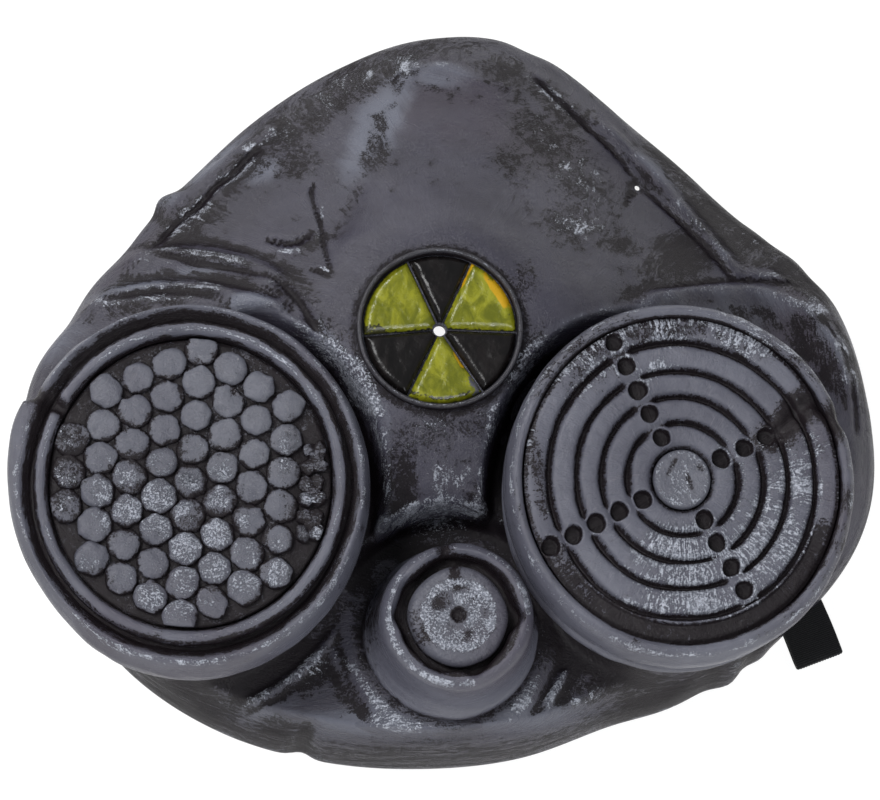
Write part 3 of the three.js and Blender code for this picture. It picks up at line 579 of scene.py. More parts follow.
def mesh_piece(name, points, faces):
    """A piece from points in millimetres from the vent and lists of equal-sided faces."""
    mesh = bpy.data.meshes.new(name)
    groups = faces if isinstance(faces, list) else [faces]
    groups = [np.asarray(g, np.int32) for g in groups if len(g)]
    mesh.vertices.add(len(points))
    placed = (np.asarray(points, float) + VENT) * MM
    mesh.vertices.foreach_set("co", placed.astype(np.float32).ravel())
    corners = np.concatenate([g.ravel() for g in groups])
    sizes = np.concatenate([np.full(len(g), g.shape[1]) for g in groups])
    mesh.loops.add(len(corners))
    mesh.loops.foreach_set("vertex_index", corners)
    mesh.polygons.add(len(sizes))
    starts = np.concatenate([[0], np.cumsum(sizes)[:-1]]).astype(np.int32)
    mesh.polygons.foreach_set("loop_start", starts)
    mesh.update(calc_edges=True)
    mesh.validate()
    mesh.shade_smooth()
    piece = bpy.data.objects.new(name, mesh)
    bpy.context.scene.collection.objects.link(piece)
    return piece


def strip_faces(rows, columns, closed=False):
    """Faces of a grid of rows whose columns run all the way round, last row to first if closed."""
    i = np.arange(rows if closed else rows - 1)[:, None]
    j = np.arange(columns)[None, :]
    a = i * columns + j
    b = i * columns + (j + 1) % columns
    c = ((i + 1) % rows) * columns + (j + 1) % columns
    d = ((i + 1) % rows) * columns + j
    return np.stack([a, b, c, d], -1).reshape(-1, 4)


def rounded(profile, passes=2, step=0.7):
    """The profile with its corners cut soft and its long runs divided."""
    p = np.array(profile, float)
    for _ in range(passes):
        q = np.empty((2 * (len(p) - 1), 2))
        q[0::2] = mix(p[:-1], p[1:], 0.25)
        q[1::2] = mix(p[:-1], p[1:], 0.75)
        p = np.vstack([p[:1], q, p[-1:]])
    out = [p[0]]
    for a, b in zip(p[:-1], p[1:]):
        count = max(1, int(np.ceil(np.linalg.norm(b - a) / step)))
        out += [mix(a, b, k / count) for k in range(1, count + 1)]
    return np.array(out)


def turned_points(profile, sides, shape=None):
    """Points and faces of a turned shape; shape(radius, height, angle) may bend it."""
    profile = np.array(profile, float)
    open_low, open_high = profile[0, 0] > 1e-6, profile[-1, 0] > 1e-6
    rows = profile[0 if open_low else 1 : len(profile) if open_high else -1]
    angle = np.arange(sides) / sides * 2 * math.pi
    radius, turn = np.meshgrid(rows[:, 0], angle, indexing="ij")
    height = np.repeat(rows[:, 1:2], sides, axis=1)
    if shape:
        radius, height = shape(radius, height, turn)
    points = np.stack([radius * np.cos(turn), radius * np.sin(turn), height], -1).reshape(-1, 3)
    faces = [strip_faces(len(rows), sides, closed=open_low and open_high)]
    ring = np.arange(sides)
    if not open_low:
        points = np.vstack([points, [[0, 0, profile[0, 1]]]])
        faces.append(np.stack([np.full(sides, len(points) - 1), (ring + 1) % sides, ring], -1))
    if not open_high:
        lift = height[-1].mean() - rows[-1, 1]
        points = np.vstack([points, [[0, 0, profile[-1, 1] + lift]]])
        last = (len(rows) - 1) * sides
        faces.append(np.stack([last + ring, last + (ring + 1) % sides, np.full(sides, len(points) - 1)], -1))
    return points, faces


def on_drum(points, place, height, stretch):
    """Points of a drum moved from its own middle to its place on the mask."""
    return points * [1, stretch, 1] + [place[0], place[1], height]


def turned_piece(name, profile, sides, shape, place, height, stretch=1):
    """A turned piece on its seat, and where its points lie."""
    points, faces = turned_points(profile, sides, shape)
    piece = mesh_piece(name, on_drum(points, place, height, stretch), faces)
    return piece, spots_of(piece, place, height, stretch)


def spots_of(piece, place, height, stretch=1):
    """Where a piece's points lie: x and y from the vent, the rest from the piece's own middle and foot."""
    x, y, z = places_of(piece).T
    u, v = x - place[0], (y - place[1]) / stretch
    return Spots(x, y, u, v, np.hypot(u, v), np.degrees(np.arctan2(v, u)) % 360, z - height)


def numbers(piece, name, values):
    """One number for each point of a piece, for its paint to read."""
    made = piece.data.attributes.new(name, "FLOAT", "POINT")
    made.data.foreach_set("value", np.asarray(values, np.float32))


def painted(piece, wash_and_shade, rub_and_highlight, centre=(0.0, 0.0), along=10.0, across=1.0, pale=None):
    """Wash and painted shade, rub and painted highlight, and the painted highlight in pale, of each point,
    and where it lies along and across a brush led round the centre.
    """
    x, y, z = places_of(piece).T
    u, v = x - centre[0], y - centre[1]
    radius = np.maximum(np.hypot(u, v), 0.01)
    way = np.stack([along * u / radius, along * v / radius, across * (radius + z)], -1) * MM
    made = piece.data.attributes.new("comb", "FLOAT_VECTOR", "POINT")
    made.data.foreach_set("vector", way.astype(np.float32).ravel())
    numbers(piece, "wash_and_shade", wash_and_shade)
    numbers(piece, "rub_and_highlight", rub_and_highlight)
    numbers(piece, "pale", np.zeros(len(x)) if pale is None else pale)


def places_of(piece):
    co = np.empty(len(piece.data.vertices) * 3)
    piece.data.vertices.foreach_get("co", co)
    return co.reshape(-1, 3) / MM - VENT


def relief(piece, passes):
    """How far each point stands out of the smoothed surface round it, negative in a crease."""
    mesh = piece.data
    points = places_of(piece)
    count = len(points)
    edges = np.empty(len(mesh.edges) * 2, np.int32)
    mesh.edges.foreach_get("vertices", edges)
    a, b = edges.reshape(-1, 2).T
    ends = np.bincount(a, minlength=count) + np.bincount(b, minlength=count)
    ends = np.maximum(ends, 1)
    normals = np.empty(count * 3)
    mesh.vertex_normals.foreach_get("vector", normals)
    smooth = points.copy()
    for _ in range(passes):
        pull = [np.bincount(a, smooth[b, k], count) + np.bincount(b, smooth[a, k], count) for k in range(3)]
        total = np.stack(pull, -1)
        smooth = 0.5 * smooth + 0.5 * total / ends[:, None]
    return ((points - smooth) * normals.reshape(-1, 3)).sum(1)


def patch_paint(x, y, patches):
    """Wash and painted shade, and rub and painted highlight, that the listed patches give at each place."""
    wash_and_shade, rub_and_highlight = np.zeros_like(x), np.zeros_like(x)
    for px, py, long, wide, turn, dark, silver in patches:
        c, s = math.cos(turn * RAD), math.sin(turn * RAD)
        u = ((x - px) * c + (y - py) * s) / long
        v = (-(x - px) * s + (y - py) * c) / wide
        share = np.exp(-((u * u + v * v) ** 1.4))
        wash_and_shade = np.maximum(wash_and_shade, dark * share)
        rub_and_highlight = np.maximum(rub_and_highlight, silver * share)
    return wash_and_shade, rub_and_highlight


def finish_piece(piece, material, slot, *nodes):
    piece.data.materials.clear()
    piece.data.materials.append(material)
    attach(piece, "root")
    if nodes:
        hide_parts(*nodes)
    return piece


# Paints


def add(tree, kind, values=None, **settings):
    """A node with its settings, and its inputs set or linked."""
    made = tree.nodes.new(kind)
    for key, value in settings.items():
        setattr(made, key, value)
    for key, value in (values or {}).items():
        if isinstance(value, bpy.types.NodeSocket):
            tree.links.new(value, made.inputs[key])
        else:
            made.inputs[key].default_value = value
    return made


def new_paint(name):
    material = bpy.data.materials.new(name)
    material.use_nodes = True
    tree = material.node_tree
    tree.nodes.clear()
    surface = add(tree, "ShaderNodeBsdfPrincipled")
    add(tree, "ShaderNodeOutputMaterial", {"Surface": surface.outputs[0]})
    return material, tree, surface


def noise(tree, place, scale, detail=4.0, rough=0.6, bend=0.0):
    return add(
        tree,
        "ShaderNodeTexNoise",
        {"Vector": place, "Scale": scale, "Detail": detail, "Roughness": rough, "Distortion": bend},
    ).outputs["Fac"]


def stretched(tree, place, size, turn=0.0):
    values = {"Vector": place, "Scale": size, "Rotation": (0, 0, turn)}
    return add(tree, "ShaderNodeMapping", values).outputs[0]


def sums(tree, *parts):
    """The sum of its parts, each a socket or (socket, times, plus)."""
    total = None
    for part in parts:
        if isinstance(part, tuple):
            made = add(tree, "ShaderNodeMath", dict(enumerate(part)), operation="MULTIPLY_ADD")
            part = made.outputs[0]
        if total is not None:
            part = add(tree, "ShaderNodeMath", {0: total, 1: part}).outputs[0]
        total = part
    return total


def swing(noise_socket, size):
    """For sums: a noise that adds and takes away up to about half this size."""
    return noise_socket, size, -size / 2


def between(tree, value, low, high, to_low=0.0, to_high=1.0):
    return add(
        tree,
        "ShaderNodeMapRange",
        {"Value": value, "From Min": low, "From Max": high, "To Min": to_low, "To Max": to_high},
        interpolation_type="SMOOTHSTEP",
    ).outputs[0]


def blend(tree, share, a, b, kind="RGBA"):
    names = {"RGBA": (6, 7, 2), "FLOAT": (2, 3, 0)}[kind]
    made = add(tree, "ShaderNodeMix", {0: share, names[0]: a, names[1]: b}, data_type=kind)
    return made.outputs[names[2]]


def times(tree, a, b):
    return add(tree, "ShaderNodeMath", {0: a, 1: b}, operation="MULTIPLY").outputs[0]


def number(tree, name):
    return add(tree, "ShaderNodeAttribute", attribute_name=name).outputs["Fac"]


WASH_AND_SHADE_BROWN = (0.0125, 0.0092, 0.0104)
SOFT_GRAIN = (2.4, 2.4, 1.4)


def latex_paint(name, deep, pale, silver=1.0, gloss=0.3, dirt_and_shade=WASH_AND_SHADE_BROWN, grain=SOFT_GRAIN):
    """Blue-grey paint: the dark wash and painted shade where wash_and_shade is high, silver and painted
    highlight where rub_and_highlight is high, and a lighter painted highlight where pale is high.

    grain is how much strokes, specks and sweeps break up the silver.
    """
    material, tree, surface = new_paint(name)
    place = add(tree, "ShaderNodeTexCoord").outputs["Object"]
    comb = add(tree, "ShaderNodeAttribute", attribute_name="comb").outputs["Vector"]
    broad = noise(tree, place, 34, 5, 0.6)
    ragged = noise(tree, place, 380, 9, 0.76, 0.6)
    speck = noise(tree, place, 2200, 3, 0.7)
    strokes = noise(tree, comb, 2000, 4, 0.68, 0.4)
    sweeps = noise(tree, comb, 300, 6, 0.7, 0.8)
    wash_and_shade_at = number(tree, "wash_and_shade")
    rub_and_highlight_at = number(tree, "rub_and_highlight")

    coarse_grain = sums(tree, swing(ragged, 2.4), swing(speck, 2.4), swing(strokes, 2.0), swing(sweeps, 1.5))
    wash_and_shade_grain = times(tree, coarse_grain, sums(tree, (between(tree, wash_and_shade_at, 0.0, 1.0), 1.0, 0.5)))
    dark = between(tree, sums(tree, wash_and_shade_at, wash_and_shade_grain), 0.48, 0.54)
    film_and_shade = between(tree, sums(tree, wash_and_shade_at, swing(broad, 1.4), swing(sweeps, 1.0)), 0.0, 0.9, 0.0, 0.34)
    fine_grain = sums(tree, *map(swing, (strokes, speck, sweeps), grain))
    rub_and_highlight_grain = times(tree, fine_grain, sums(tree, (between(tree, rub_and_highlight_at, 0.0, 1.0), 1.0, 0.22)))
    patchy = times(tree, rub_and_highlight_at, sums(tree, swing(noise(tree, place, 190, 3, 0.6), 2.2)))
    rubbed_and_highlit = sums(tree, rub_and_highlight_at, rub_and_highlight_grain, patchy)
    bright = between(tree, rubbed_and_highlit, 0.5, 0.72, 0.0, silver)

    tone = blend(tree, between(tree, broad, 0.36, 0.64), (*deep, 1), (*pale, 1))
    plum = between(tree, noise(tree, place, 21, 3, 0.5), 0.52, 0.72, 0.0, 0.5)
    tone = blend(tree, plum, tone, (0.05, 0.039, 0.055, 1))
    # painted highlight: a lighter blue-grey where pale is high
    wear_and_highlight = between(tree, sums(tree, number(tree, "pale"), swing(sweeps, 1.2)), 0.1, 0.9)
    tone = blend(tree, wear_and_highlight, tone, (0.125, 0.132, 0.168, 1))
    # a darker film, then the dark wash and painted shade, where wash_and_shade is high
    tone = blend(tree, film_and_shade, tone, (0.024, 0.018, 0.023, 1))
    colour = blend(tree, times(tree, dark, 0.95), tone, (*dirt_and_shade, 1))
    # silver paint and painted highlight where rub_and_highlight is high
    glint = sums(tree, (strokes, 0.5, 0.0), (speck, 0.5, 0.0))
    shine = blend(tree, between(tree, glint, 0.46, 0.6), (0.15, 0.157, 0.188, 1), (0.44, 0.46, 0.52, 1))
    colour = blend(tree, bright, colour, shine)
    tree.links.new(colour, surface.inputs["Base Color"])

    matt = sums(tree, (sweeps, 0.4, gloss - 0.22), (dark, 0.04, 0.0))
    rough = blend(tree, bright, matt, 0.27, "FLOAT")
    tree.links.new(rough, surface.inputs["Roughness"])
    turned_away = add(tree, "ShaderNodeLayerWeight", {"Blend": 0.5}).outputs["Facing"]
    shiny = times(tree, between(tree, turned_away, 0.25, 0.75, 0.44, 0.02), sums(tree, (dark, -0.55, 1.0)))
    tree.links.new(shiny, surface.inputs["Specular IOR Level"])
    tree.links.new(times(tree, bright, 0.25), surface.inputs["Metallic"])

    height = sums(tree, (speck, 0.3, 0.0), (ragged, 0.5, 0.0), (bright, 0.22, 0.0), (dark, -0.14, 0.0))
    coarse = add(tree, "ShaderNodeBump", {"Height": height, "Strength": 0.75, "Distance": 0.0007})
    fine = add(
        tree,
        "ShaderNodeBump",
        {"Height": strokes, "Strength": 0.5, "Distance": 0.0004, "Normal": coarse.outputs[0]},
    )
    tree.links.new(fine.outputs[0], surface.inputs["Normal"])
    return material


def gloss_paint(name, deep, pale, chip=(0.1, 0.1, 0.12), accent=None, shine=0.5, lump=0.0008):
    """Thick glossy paint with lumps from the brush, grey chips, and strokes where accent is high."""
    material, tree, surface = new_paint(name)
    place = add(tree, "ShaderNodeTexCoord").outputs["Object"]
    smear = noise(tree, stretched(tree, place, (1.0, 0.6, 1.0), 0.6), 260, 6, 0.62, 0.6)
    grain = noise(tree, place, 900, 5, 0.6)
    colour = blend(tree, between(tree, smear, 0.34, 0.68), (*deep, 1), (*pale, 1))
    if accent:
        stroke = between(tree, sums(tree, number(tree, "accent"), swing(smear, 1.6)), 0.42, 0.6)
        colour = blend(tree, stroke, colour, (*accent, 1))
    dark = between(tree, sums(tree, number(tree, "wash_and_shade"), swing(grain, 2.6)), 0.42, 0.6, 0.0, 0.9)
    colour = blend(tree, dark, colour, (0.012, 0.011, 0.01, 1))
    chips = between(tree, sums(tree, number(tree, "rub_and_highlight"), swing(grain, 2.4)), 0.5, 0.62)
    colour = blend(tree, chips, colour, (*chip, 1))
    tree.links.new(colour, surface.inputs["Base Color"])
    tree.links.new(between(tree, smear, 0.3, 0.7, 0.16, 0.34), surface.inputs["Roughness"])
    surface.inputs["Specular IOR Level"].default_value = shine
    lumpy = noise(tree, place, 430, 3, 0.5)
    high = sums(tree, lumpy, (smear, 0.4, 0.0))
    bump = add(tree, "ShaderNodeBump", {"Height": high, "Strength": 0.42, "Distance": lump})
    tree.links.new(bump.outputs[0], surface.inputs["Normal"])
    return material


def woven_elastic(name):
    """Matt black elastic: ribs along it from its shape, the weave across from its own map."""
    material, tree, surface = new_paint(name)
    weave = add(tree, "ShaderNodeUVMap", uv_map="weave").outputs[0]
    place = add(tree, "ShaderNodeTexCoord").outputs["Object"]
    across = add(
        tree,
        "ShaderNodeTexWave",
        {"Vector": weave, "Scale": 0.62, "Distortion": 0.6, "Detail": 1.0},
        bands_direction="X",
    ).outputs["Fac"]
    fluff = noise(tree, place, 2400, 3, 0.6)
    wear_and_highlight = noise(tree, place, 90, 4, 0.6)
    # painted shade: the weave's grooves darker than its ribs; the lighter patches are wear
    groove, rib = (0.0035, 0.0035, 0.004, 1), (0.011, 0.011, 0.0125, 1)
    shade = blend(tree, between(tree, across, 0.1, 0.9), groove, rib)
    shade = blend(tree, between(tree, wear_and_highlight, 0.5, 0.75, 0.0, 0.4), shade, (0.02, 0.019, 0.02, 1))
    tree.links.new(shade, surface.inputs["Base Color"])
    tree.links.new(between(tree, fluff, 0.3, 0.7, 0.72, 0.92), surface.inputs["Roughness"])
    surface.inputs["Specular IOR Level"].default_value = 0.25
    surface.inputs["Sheen Weight"].default_value = 0.12
    surface.inputs["Sheen Roughness"].default_value = 0.5
    high = sums(tree, (across, 0.8, 0.0), (fluff, 0.35, 0.0))
    bump = add(tree, "ShaderNodeBump", {"Height": high, "Strength": 0.5, "Distance": 0.0003})
    tree.links.new(bump.outputs[0], surface.inputs["Normal"])
    return material


def rivet_steel(name):
    material, tree, surface = new_paint(name)
    place = add(tree, "ShaderNodeTexCoord").outputs["Object"]
    scuff = noise(tree, stretched(tree, place, (3.0, 0.4, 1.0), 0.4), 1400, 4, 0.6)
    stain = noise(tree, place, 420, 5, 0.65)
    colour = blend(tree, between(tree, stain, 0.45, 0.7), (0.42, 0.42, 0.43, 1), (0.2, 0.19, 0.18, 1))
    tree.links.new(colour, surface.inputs["Base Color"])
    tree.links.new(between(tree, scuff, 0.3, 0.7, 0.24, 0.48), surface.inputs["Roughness"])
    surface.inputs["Metallic"].default_value = 1.0
    bump = add(tree, "ShaderNodeBump", {"Height": scuff, "Strength": 0.3, "Distance": 0.0001})
    tree.links.new(bump.outputs[0], surface.inputs["Normal"])
    return material


SKIN_PAINT = latex_paint(
    "skin_paint", (0.0345, 0.032, 0.046), (0.054, 0.0515, 0.0725), dirt_and_shade=(0.0086, 0.006, 0.0078)
)
DRUM_PAINT = latex_paint("drum_paint", (0.084, 0.084, 0.108), (0.118, 0.12, 0.15), gloss=0.26)
GRILLE_PAINT = latex_paint(
    "grille_paint", (0.084, 0.084, 0.108), (0.118, 0.12, 0.15), gloss=0.26, grain=(2.9, 1.7, 2.2)
)
RUBBED_PAINT = latex_paint("rubbed_paint", (0.094, 0.095, 0.118), (0.126, 0.129, 0.155), gloss=0.27)
DARK_PAINT = latex_paint("dark_paint", (0.03, 0.028, 0.034), (0.05, 0.049, 0.058), 0.8)
BADGE_GREEN = gloss_paint(
    "badge_green", (0.105, 0.115, 0.006), (0.26, 0.26, 0.012), accent=(0.5, 0.29, 0.008)
)
BADGE_BLACK = gloss_paint(
    "badge_black",
    (0.004, 0.0035, 0.0035),
    (0.008, 0.006, 0.006),
    (0.05, 0.048, 0.055),
    shine=0.34,
    lump=0.0005,
)
ELASTIC = woven_elastic("black_elastic")
STEEL = rivet_steel("rivet_steel")


# The skin

SKIN_DIRS = 500
FACE_RINGS = 98
EDGE_RINGS = 38
INNER_RINGS = 26


def mask_skin():
    dirs = np.arange(SKIN_DIRS) / SKIN_DIRS * 360
    rim, turn = sections_at(dirs)[:2]
    rows = [np.full(SKIN_DIRS, VENT_BORE / 2), np.full(SKIN_DIRS, BADGE_RADIUS - 1.5)]
    for i in range(FACE_RINGS):
        rows.append(mix(BADGE_RADIUS - 0.8, turn, i / (FACE_RINGS - 1)))
    for i in range(1, EDGE_RINGS + 1):
        rows.append(turn + (rim - turn) * math.sin(i / EDGE_RINGS * math.pi / 2))
    distance = np.array(rows)
    angle = np.broadcast_to(dirs, distance.shape)
    z = skin_height(angle, distance)

    # The inside lies WALL behind the unfolded outside.
    pick = np.unique(np.linspace(len(rows) - 6, 1, INNER_RINGS).astype(int))[::-1]
    inner_distance = distance[pick]
    inner_angle = np.broadcast_to(dirs, inner_distance.shape)
    here = point_at(inner_angle, inner_distance)
    out = here - point_at(inner_angle, inner_distance - 0.5)
    step = 0.5 / np.maximum(inner_distance, 1) / RAD
    around = point_at(inner_angle + step, inner_distance) - here
    normal = np.cross(out, around)
    normal /= np.linalg.norm(normal, axis=-1, keepdims=True)
    inner = here - WALL * normal

    bump = sum(size * bell(dirs, at, half) for at, half, size in RIM_BUMPS)
    out_distance = distance + bump * ease((distance - turn) / (rim - turn))
    outer = np.stack([out_distance * np.cos(angle * RAD), out_distance * np.sin(angle * RAD), z], -1)
    foot_distance = rim + bump - FOOT
    foot = np.stack([foot_distance * np.cos(dirs * RAD), foot_distance * np.sin(dirs * RAD), z[-1]], -1)
    bore = outer[0].copy()
    bore[:, 2] = CROWN - WALL
    grid = np.concatenate([outer, foot[None], inner, bore[None]])
    grid[..., 2] = np.maximum(grid[..., 2], 0)
    faces = strip_faces(len(grid), SKIN_DIRS, closed=True)[:, ::-1]
    piece = mesh_piece("mask_skin", grid.reshape(-1, 3), faces)
    punch(piece)
    paint_skin(piece, (len(rows) + 1) * SKIN_DIRS)
    return finish_piece(piece, SKIN_PAINT, "skin_latex", "face_shell")


def paint_skin(piece, first_inside):
    """Wash and painted shade, rub and painted highlight, and the painted highlight in pale, of the skin; its
    points from first_inside on are the inside.
    """
    x, y, _ = places_of(piece).T
    away = np.hypot(x, y)
    fine, wide = relief(piece, 10), relief(piece, 60)
    wash_and_shade, rub_and_highlight = patch_paint(x, y, SKIN_PATCHES)
    # darker in fine creases and broad hollows, silver on ridges and rises
    wash_and_shade = wash_and_shade + part_of(-fine, 0.15) * 0.8 + part_of(-wide, 0.9) * 0.34
    rub_and_highlight = 0.8 * rub_and_highlight + part_of(fine, 0.16) * 0.29 + part_of(wide, 0.9) * 0.08
    # painted contact shade on the skin round the drums and the valve
    for seat, edge in zip(SEATS, SEAT_SHADE_EDGES):
        close = from_drum(x, y, seat) - edge
        wash_and_shade = wash_and_shade + 0.4 * bell(np.maximum(close, 0), 0, 2.0)
    # darker in a ring round the badge's foot
    wash_and_shade = wash_and_shade + 0.8 * bell(away - BADGE_RADIUS, 0.4, 1.1)
    direction = np.degrees(np.arctan2(y, x))
    # darker within 4 mm of the rim, and painted shade along the rim under the chin
    from_rim = sections_at(direction)[0] - away
    wash_and_shade = wash_and_shade + 0.34 * ease(1 - from_rim / 4)
    under_chin = np.exp(-(((direction + 92) / 42) ** 4))
    wash_and_shade = wash_and_shade + 0.3 * under_chin * ease(1 - from_rim / 2.0)
    hole = np.hypot(x - PINHOLE_PLACE[0], y - PINHOLE_PLACE[1])
    wash_and_shade = wash_and_shade + 0.9 * bell(hole, 0, 2.4)
    inside = np.arange(len(x)) >= first_inside
    wash_and_shade = np.where(inside, 0.3, wash_and_shade)
    rub_and_highlight = np.where(inside, 0, rub_and_highlight)
    # painted highlight: paler on the listed places and on broad rises
    pale = patch_paint(x, y, [(*row, 0) for row in HIGHLIGHT_PLACES])[0]
    pale = pale + 0.35 * part_of(wide - 0.2, 0.9)
    painted(piece, wash_and_shade + 0.08, rub_and_highlight, (0, 0), 14.0, 1.0, np.where(inside, 0, pale))


def point_at(angle, distance):
    """A point of the unfolded outside."""
    z = skin_height(angle, distance, False)
    return np.stack([distance * np.cos(angle * RAD), distance * np.sin(angle * RAD), z], -1)


def punch(piece):
    """The pinhole in the right border, leaning a little towards the chin."""
    bpy.ops.mesh.primitive_cylinder_add(vertices=20, radius=PINHOLE / 2 * MM, depth=CROWN * MM)
    pin = bpy.context.active_object
    spot = (np.array([*PINHOLE_PLACE, PINHOLE_HEIGHT]) + VENT) * MM
    lean = Vector((0, 0, 1)).rotation_difference(Vector(PINHOLE_LEAN)).to_matrix().to_4x4()
    pin.data.transform(Matrix.Translation(Vector(spot)) @ lean)
    cut = piece.modifiers.new("pinhole", "BOOLEAN")
    cut.operation = "DIFFERENCE"
    cut.solver = "EXACT"
    cut.object = pin
    graph = bpy.context.evaluated_depsgraph_get()
    cut_mesh = bpy.data.meshes.new_from_object(piece.evaluated_get(graph))
    piece.modifiers.remove(cut)
    piece.data = cut_mesh
    cut_mesh.shade_smooth()
    bpy.data.objects.remove(pin)


# The drums


def drum_wobble(seed, size=0.35):
    """A slight hand-made unevenness for a turned piece."""

    def bend(radius, height, angle):
        x, y = radius * np.cos(angle), radius * np.sin(angle)
        share = ease((radius - 6) / 12)
        height = height + 0.14 * ease((height - 4) / 3) * lumps(x, y, 2.6, seed + 3)
        small = 0.4 * lumps(x * 1.3 + height, y + height, 6, seed + 1)
        radius = radius + size * share * (lumps(x, y, 17, seed) + small)
        height = height + 0.5 * size * share * ease(height / 4) * lumps(x, y, 9, seed + 2)
        return radius, height

    return bend


def left_drum():
    r, h = LEFT_RADIUS, LEFT_HEIGHT
    seat = h - RING_SEAT
    profile = rounded(
        [
            (0, 0),
            (DRUM_FOOT, 0),
            (0.9 * r, 0.22 * h),
            (0.985 * r, 0.4 * h),
            (r, 0.55 * h),
            (0.998 * r, 0.76 * h),
            (0.975 * r, 0.93 * h),
            (0.945 * r, 1.0 * h),
            (0.915 * r, 0.965 * h),
            (RING_RADIUS + 1.1, seat + 0.5),
            (RING_RADIUS + 0.7, seat - 0.1),
            (RING_RADIUS - 2, seat),
            (0, seat),
        ]
    )
    wobble = drum_wobble(21)

    def shape(radius, height, angle):
        radius, height = wobble(radius, height, angle)
        turn = np.degrees(angle)
        wide = bell(turn, 118, 48)
        inner = ease((radius - 36) / 2) * ease((42.2 - radius) / 2)
        radius = radius + 1.0 * wide * inner * ease((height - seat) / 1.5)
        notch = bell(turn, LEFT_NICK, 2.6) * ease((height - 0.6 * h) / 4) * ease((radius - 35) / 3)
        side = ease((radius - 40) / 2)
        step = 2.3 * ease((turn - LEFT_NICK) / 3) * bell(np.maximum(turn, 158), 158, 17)
        flat = 1.1 * bell(turn, 216, 20)
        return radius + side * (step - flat), height - 1.6 * notch

    piece, spots = turned_piece("left_drum", profile, 200, shape, LEFT_PLACE, DRUM_FOOTING, STRETCH)
    x, y, _, _, radius, turn, z = spots
    fine, wide = relief(piece, 10), relief(piece, 50)
    wash_and_shade = part_of(-fine, 0.16) * 0.5 + part_of(-wide, 0.8) * 0.5
    groove = ease((RING_RADIUS + 3.2 - radius) / 1.6) * ease((z - 10) / 4)
    wash_and_shade = wash_and_shade + 0.9 * groove
    wash_and_shade = wash_and_shade + 0.5 * bell(turn, 108, 42) * ease((41.2 - radius) / 1.5) * ease((z - 10) / 4)
    wash_and_shade = wash_and_shade + 0.8 * bell(turn, LEFT_NICK, 3.2) * ease((z - 14) / 5)
    # darker towards the drum's foot
    wash_and_shade = wash_and_shade + 0.4 * ease((0.36 * h - z) / 4)
    rub_and_highlight = part_of(fine, 0.14) * 0.24 + part_of(wide, 0.8) * 0.06
    # silver and painted highlight along the rim's crest
    lit = bell(radius, 0.955 * r, 0.7) * ease((z - 20) / 5)
    rub_and_highlight = rub_and_highlight + 0.3 * lit * (0.4 + bell(turn, 270, 60) + 0.5 * bell(turn, 20, 40))
    wash_and_shade = wash_and_shade + 0.1 + 0.2 * lumps(x + z, y, 3.2, 23) + 0.14 * lumps(x, y + z, 9, 24)
    painted(piece, wash_and_shade, rub_and_highlight, LEFT_PLACE, 6.0, 1.0)
    return finish_piece(piece, DRUM_PAINT, "skin_latex", "left_filter_housing")


def left_ring():
    out, inside, h = RING_RADIUS, RING_RADIUS - RING_WIDTH, RING_HEIGHT
    profile = rounded(
        [
            (inside + 0.1, 0),
            (out, 0),
            (out, 0.62 * h),
            (out - 0.16 * RING_WIDTH, 0.93 * h),
            (out - 0.42 * RING_WIDTH, h),
            (inside + 0.3 * RING_WIDTH, 0.96 * h),
            (inside + 0.05 * RING_WIDTH, 0.66 * h),
            (inside + 0.1, 0),
        ],
        step=0.4,
    )[:-1]
    wobble = drum_wobble(31, 0.22)

    def shape(radius, height, angle):
        turn = np.degrees(angle)
        bent, _ = wobble(radius, height, angle)
        notch = np.exp(-(((turn - LEFT_NICK) / 2.4) ** 4))
        low = mix(height, 0.22 * height, notch)
        return mix(radius, bent, ease(height / 1.5)), low + 0.12 * ease(height / 2) * np.sin(5 * angle)

    piece, spots = turned_piece("left_ring", profile, 220, shape, LEFT_PLACE, LEFT_FLOOR, STRETCH)
    _, _, u, v, radius, turn, z = spots
    # darker low on the ring and on its sides, leaving a narrow crest
    wash_and_shade = ease((0.72 * h - z) / 1.6) * 0.95 + 0.9 * bell(turn, LEFT_NICK, 3)
    off = np.abs(radius - out + 0.5 * RING_WIDTH) + 0.3 * lumps(u, v, 3.4, 33)
    wash_and_shade = wash_and_shade + 0.62 * ease((off - 0.85) / 0.5) + 0.16 * lumps(u, v, 2.2, 34)
    # silver and painted highlight along the crest
    crest = bell(off, 0, 0.6) * ease((z - 0.8 * h) / 0.5)
    rub_and_highlight = 0.6 * crest * (0.6 + 0.8 * bell(turn, 70, 30) + 0.4 * lumps(u, v, 9, 35))
    painted(piece, wash_and_shade + 0.08, rub_and_highlight, LEFT_PLACE, 6.0, 1.0)
    return finish_piece(piece, DRUM_PAINT, "skin_latex", "left_filter_ring")


def boss_places():
    edge = RING_RADIUS - RING_WIDTH - GAP - 0.72 * 3.3
    columns = math.ceil(edge / BOSS_PITCH)
    rows = math.ceil(edge / BOSS_STEP) + 1
    c, s = math.cos(FIELD_TURN * RAD), math.sin(FIELD_TURN * RAD)
    found = []
    for i in range(-columns, columns + 1):
        for j in range(-rows, rows + 1):
            x, y = i * BOSS_PITCH, (j + (0.5 if i % 2 else 0)) * BOSS_STEP
            if math.hypot(x, y) < edge:
                found.append((x * c - y * s, x * s + y * c, 0))
    return np.array(found)


